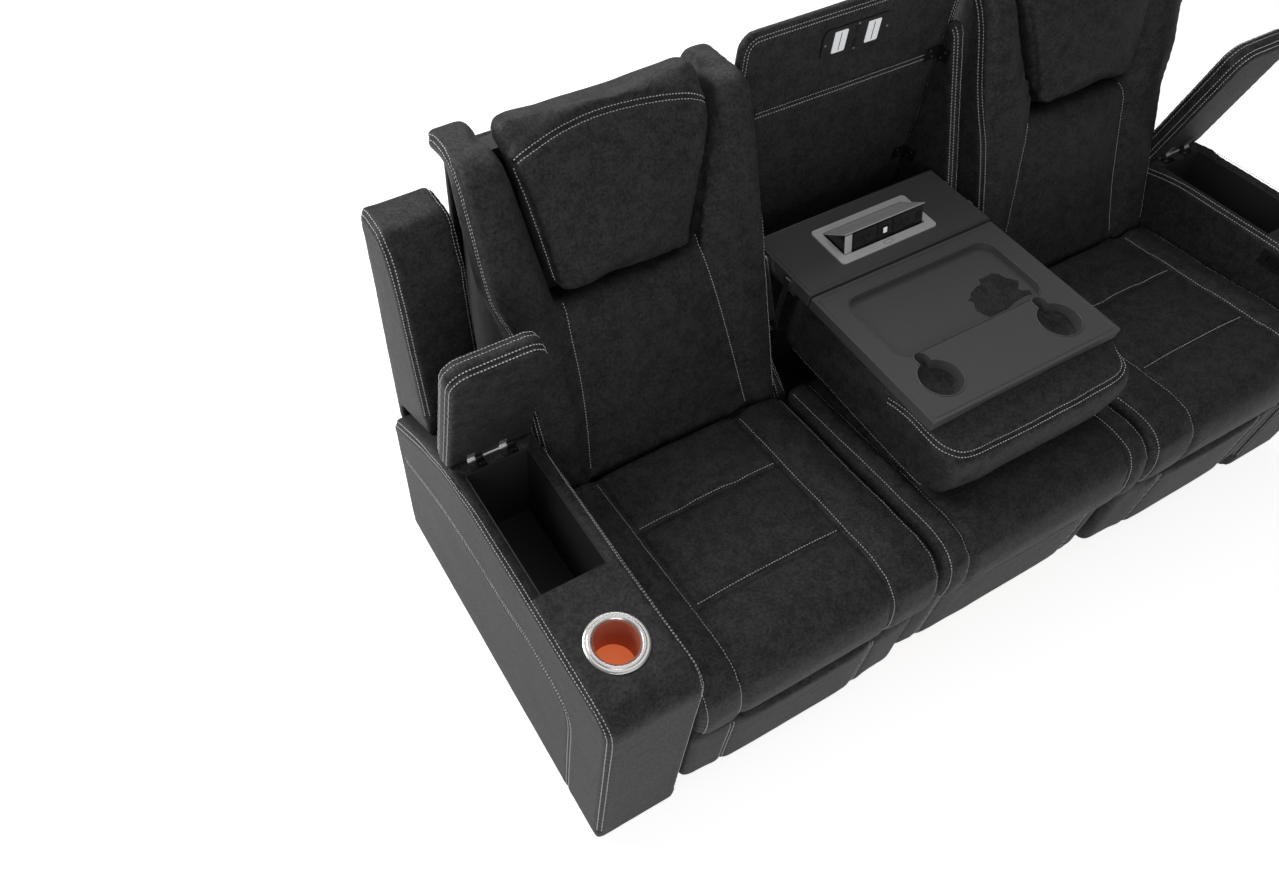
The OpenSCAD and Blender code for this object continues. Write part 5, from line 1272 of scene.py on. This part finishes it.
class SOFA_OT_hardware(bpy.types.Operator):
    """Finishes the frames, the mechanism and the switches"""

    bl_idname = "sofa.hardware"
    bl_label = "Frames and hardware"

    def execute(self, context):
        for look, bevels in HARDWARE.items():
            for node, bevel in bevels.items():
                finish_node(node, look, bevel)
                if "right" in node:
                    finish_node(left(node), look, bevel)
        for side, sign in SIDES:
            co, *faces = row_box((312, 330, -1.6), (903, 950, -0.4), 0.3)
            faces = faces if sign > 0 else [f[:, ::-1] for f in faces]
            sheet = new_object(f"{side}_dust_cover", co * (sign, 1, 1), *faces)
            dress(sheet, "base", material("liner"))
        return {"FINISHED"}


# Strengths that the floor and the world give to other rays and to the camera's
FLOOR_LIGHT, WORLD_LIGHT = (0.42, 0.80), (0.12, 1.0)
# Place, aim, size and power of each lamp
LAMPS = {
    "front": ((-0.3, -2.6, 2.6), (0, 0.1, 0.7), (2.4, 1.2), 7),
    "front_left": ((-2.2, -2.6, 1.6), (-0.3, 0, 0.5), (1.6, 1.4), 13),
    "back_left": ((-2.6, 2.0, 2.4), (-0.4, 0, 0.6), (2.0, 1.4), 60),
    "rear": ((0.2, 2.0, 2.6), (0, 0, 0.6), (2.6, 1.4), 28),
    "top": ((0, 0, 3.4), (0, 0, 0.6), (3.0, 2.0), 11),
}


def area_lamp(name, place, aim, size, power):
    """A large soft lamp at a place, turned to a point."""
    light = bpy.data.lights.new(name, "AREA")
    light.shape = "RECTANGLE"
    light.size, light.size_y, light.energy = *size, power
    obj = bpy.data.objects.new(name, light)
    bpy.context.scene.collection.objects.link(obj)
    obj.location = place
    obj.rotation_euler = (Vector(aim) - Vector(place)).to_track_quat("-Z", "Y").to_euler()


class SOFA_OT_stage(bpy.types.Operator):
    """Makes the white floor, the lamps and the camera"""

    bl_idname = "sofa.stage"
    bl_label = "Stage"

    def execute(self, context):
        scene = context.scene
        corners = 15.0 * np.array([(-1, -1, 0), (1, -1, 0), (1, 1, 0), (-1, 1, 0)])
        floor = new_object("floor", corners, np.array([[0, 1, 2, 3]]))
        look = bpy.data.materials.new("floor")
        look.use_nodes = True
        tree = look.node_tree
        out = tree.nodes["Material Output"]
        shader = tree.nodes["Principled BSDF"]
        shader.inputs["Base Color"].default_value = (0.80, 0.80, 0.80, 1)
        shader.inputs["Roughness"].default_value = 0.9
        shader.inputs["Specular IOR Level"].default_value = 0.0
        glow = add(tree, "ShaderNodeEmission", Color=(1, 1, 1, 1))
        seen = add(tree, "ShaderNodeLightPath")
        level = span(add(tree, "ShaderNodeMapRange", [("Value", seen.outputs["Is Camera Ray"])]), *FLOOR_LIGHT)
        tree.links.new(level.outputs["Result"], glow.inputs["Strength"])
        both = add(tree, "ShaderNodeAddShader", [(0, shader.outputs[0]), (1, glow.outputs[0])])
        tree.links.new(both.outputs[0], out.inputs["Surface"])
        floor.data.materials.append(look)
        world = bpy.data.worlds.new("studio")
        scene.world = world
        world.use_nodes = True
        tree = world.node_tree
        tree.nodes["Background"].inputs["Color"].default_value = (1, 1, 1, 1)
        path = add(tree, "ShaderNodeLightPath")
        rays = [(0, path.outputs["Is Camera Ray"]), (1, path.outputs["Is Transmission Ray"])]
        seen = add(tree, "ShaderNodeMath", rays, operation="ADD")
        level = span(add(tree, "ShaderNodeMapRange", [("Value", seen.outputs[0])]), *WORLD_LIGHT)
        tree.links.new(level.outputs["Result"], tree.nodes["Background"].inputs["Strength"])
        for name, (place, aim, size, power) in LAMPS.items():
            area_lamp(name, place, aim, size, power)
        camera = bpy.data.cameras.new("camera")
        camera.sensor_width, camera.lens = 36.0, sizes().lens
        camera.shift_x, camera.shift_y = 0.0709, 0.0161
        obj = bpy.data.objects.new("camera", camera)
        scene.collection.objects.link(obj)
        scene.camera = obj
        obj.matrix_world = camera_place((-1.4701, -0.9365, 2.1187), -28.93, 52.94, -0.47)
        scene.view_settings.view_transform = "Standard"
        return {"FINISHED"}


def camera_place(place, turn, down, roll):
    """The camera's matrix from its place, its turn about the upright, its dip and its roll, in degrees."""
    a, e, r = (math.radians(v) for v in (turn, down, roll))
    forward = np.array([-math.sin(a) * math.cos(e), math.cos(a) * math.cos(e), -math.sin(e)])
    right = np.array([math.cos(a), math.sin(a), 0.0])
    up = np.cross(right, forward)
    x = right * math.cos(r) + up * math.sin(r)
    y = -right * math.sin(r) + up * math.cos(r)
    m = np.eye(4)
    m[:3, 0], m[:3, 1], m[:3, 2], m[:3, 3] = x, y, -forward, place
    return Matrix(m.tolist())


OPERATORS = (SOFA_OT_stage, SOFA_OT_arms, SOFA_OT_cup_holders, SOFA_OT_lids, SOFA_OT_wings, SOFA_OT_seats,
             SOFA_OT_centre_seat, SOFA_OT_backs, SOFA_OT_headrests, SOFA_OT_footrests, SOFA_OT_shell,
             SOFA_OT_lights, SOFA_OT_console, SOFA_OT_power_unit, SOFA_OT_hardware)


class SOFA_PT_panel(bpy.types.Panel):
    """Buttons for the pieces, with their sizes and colours"""

    bl_idname = "SOFA_PT_panel"
    bl_label = "Console sofa"
    bl_space_type = "VIEW_3D"
    bl_region_type = "UI"
    bl_category = "Sofa"

    def draw(self, context):
        for group in (context.scene.sofa_sizes, context.scene.sofa_colours):
            box = self.layout.box()
            for name in group.__annotations__:
                box.prop(group, name)
        for operator in OPERATORS:
            self.layout.operator(operator.bl_idname)


CLASSES = (SofaSizes, SofaColours, *OPERATORS, SOFA_PT_panel)


def register():
    for c in CLASSES:
        bpy.utils.register_class(c)
    bpy.types.Scene.sofa_sizes = PointerProperty(type=SofaSizes)
    bpy.types.Scene.sofa_colours = PointerProperty(type=SofaColours)


def unregister():
    del bpy.types.Scene.sofa_colours
    del bpy.types.Scene.sofa_sizes
    for c in reversed(CLASSES):
        bpy.utils.unregister_class(c)


def main():
    register()
    for operator in OPERATORS:
        group, name = operator.bl_idname.split(".")
        if getattr(getattr(bpy.ops, group), name)() != {"FINISHED"}:
            raise RuntimeError(f"{operator.bl_label} did not finish")


if __name__ == "__main__":
    main()
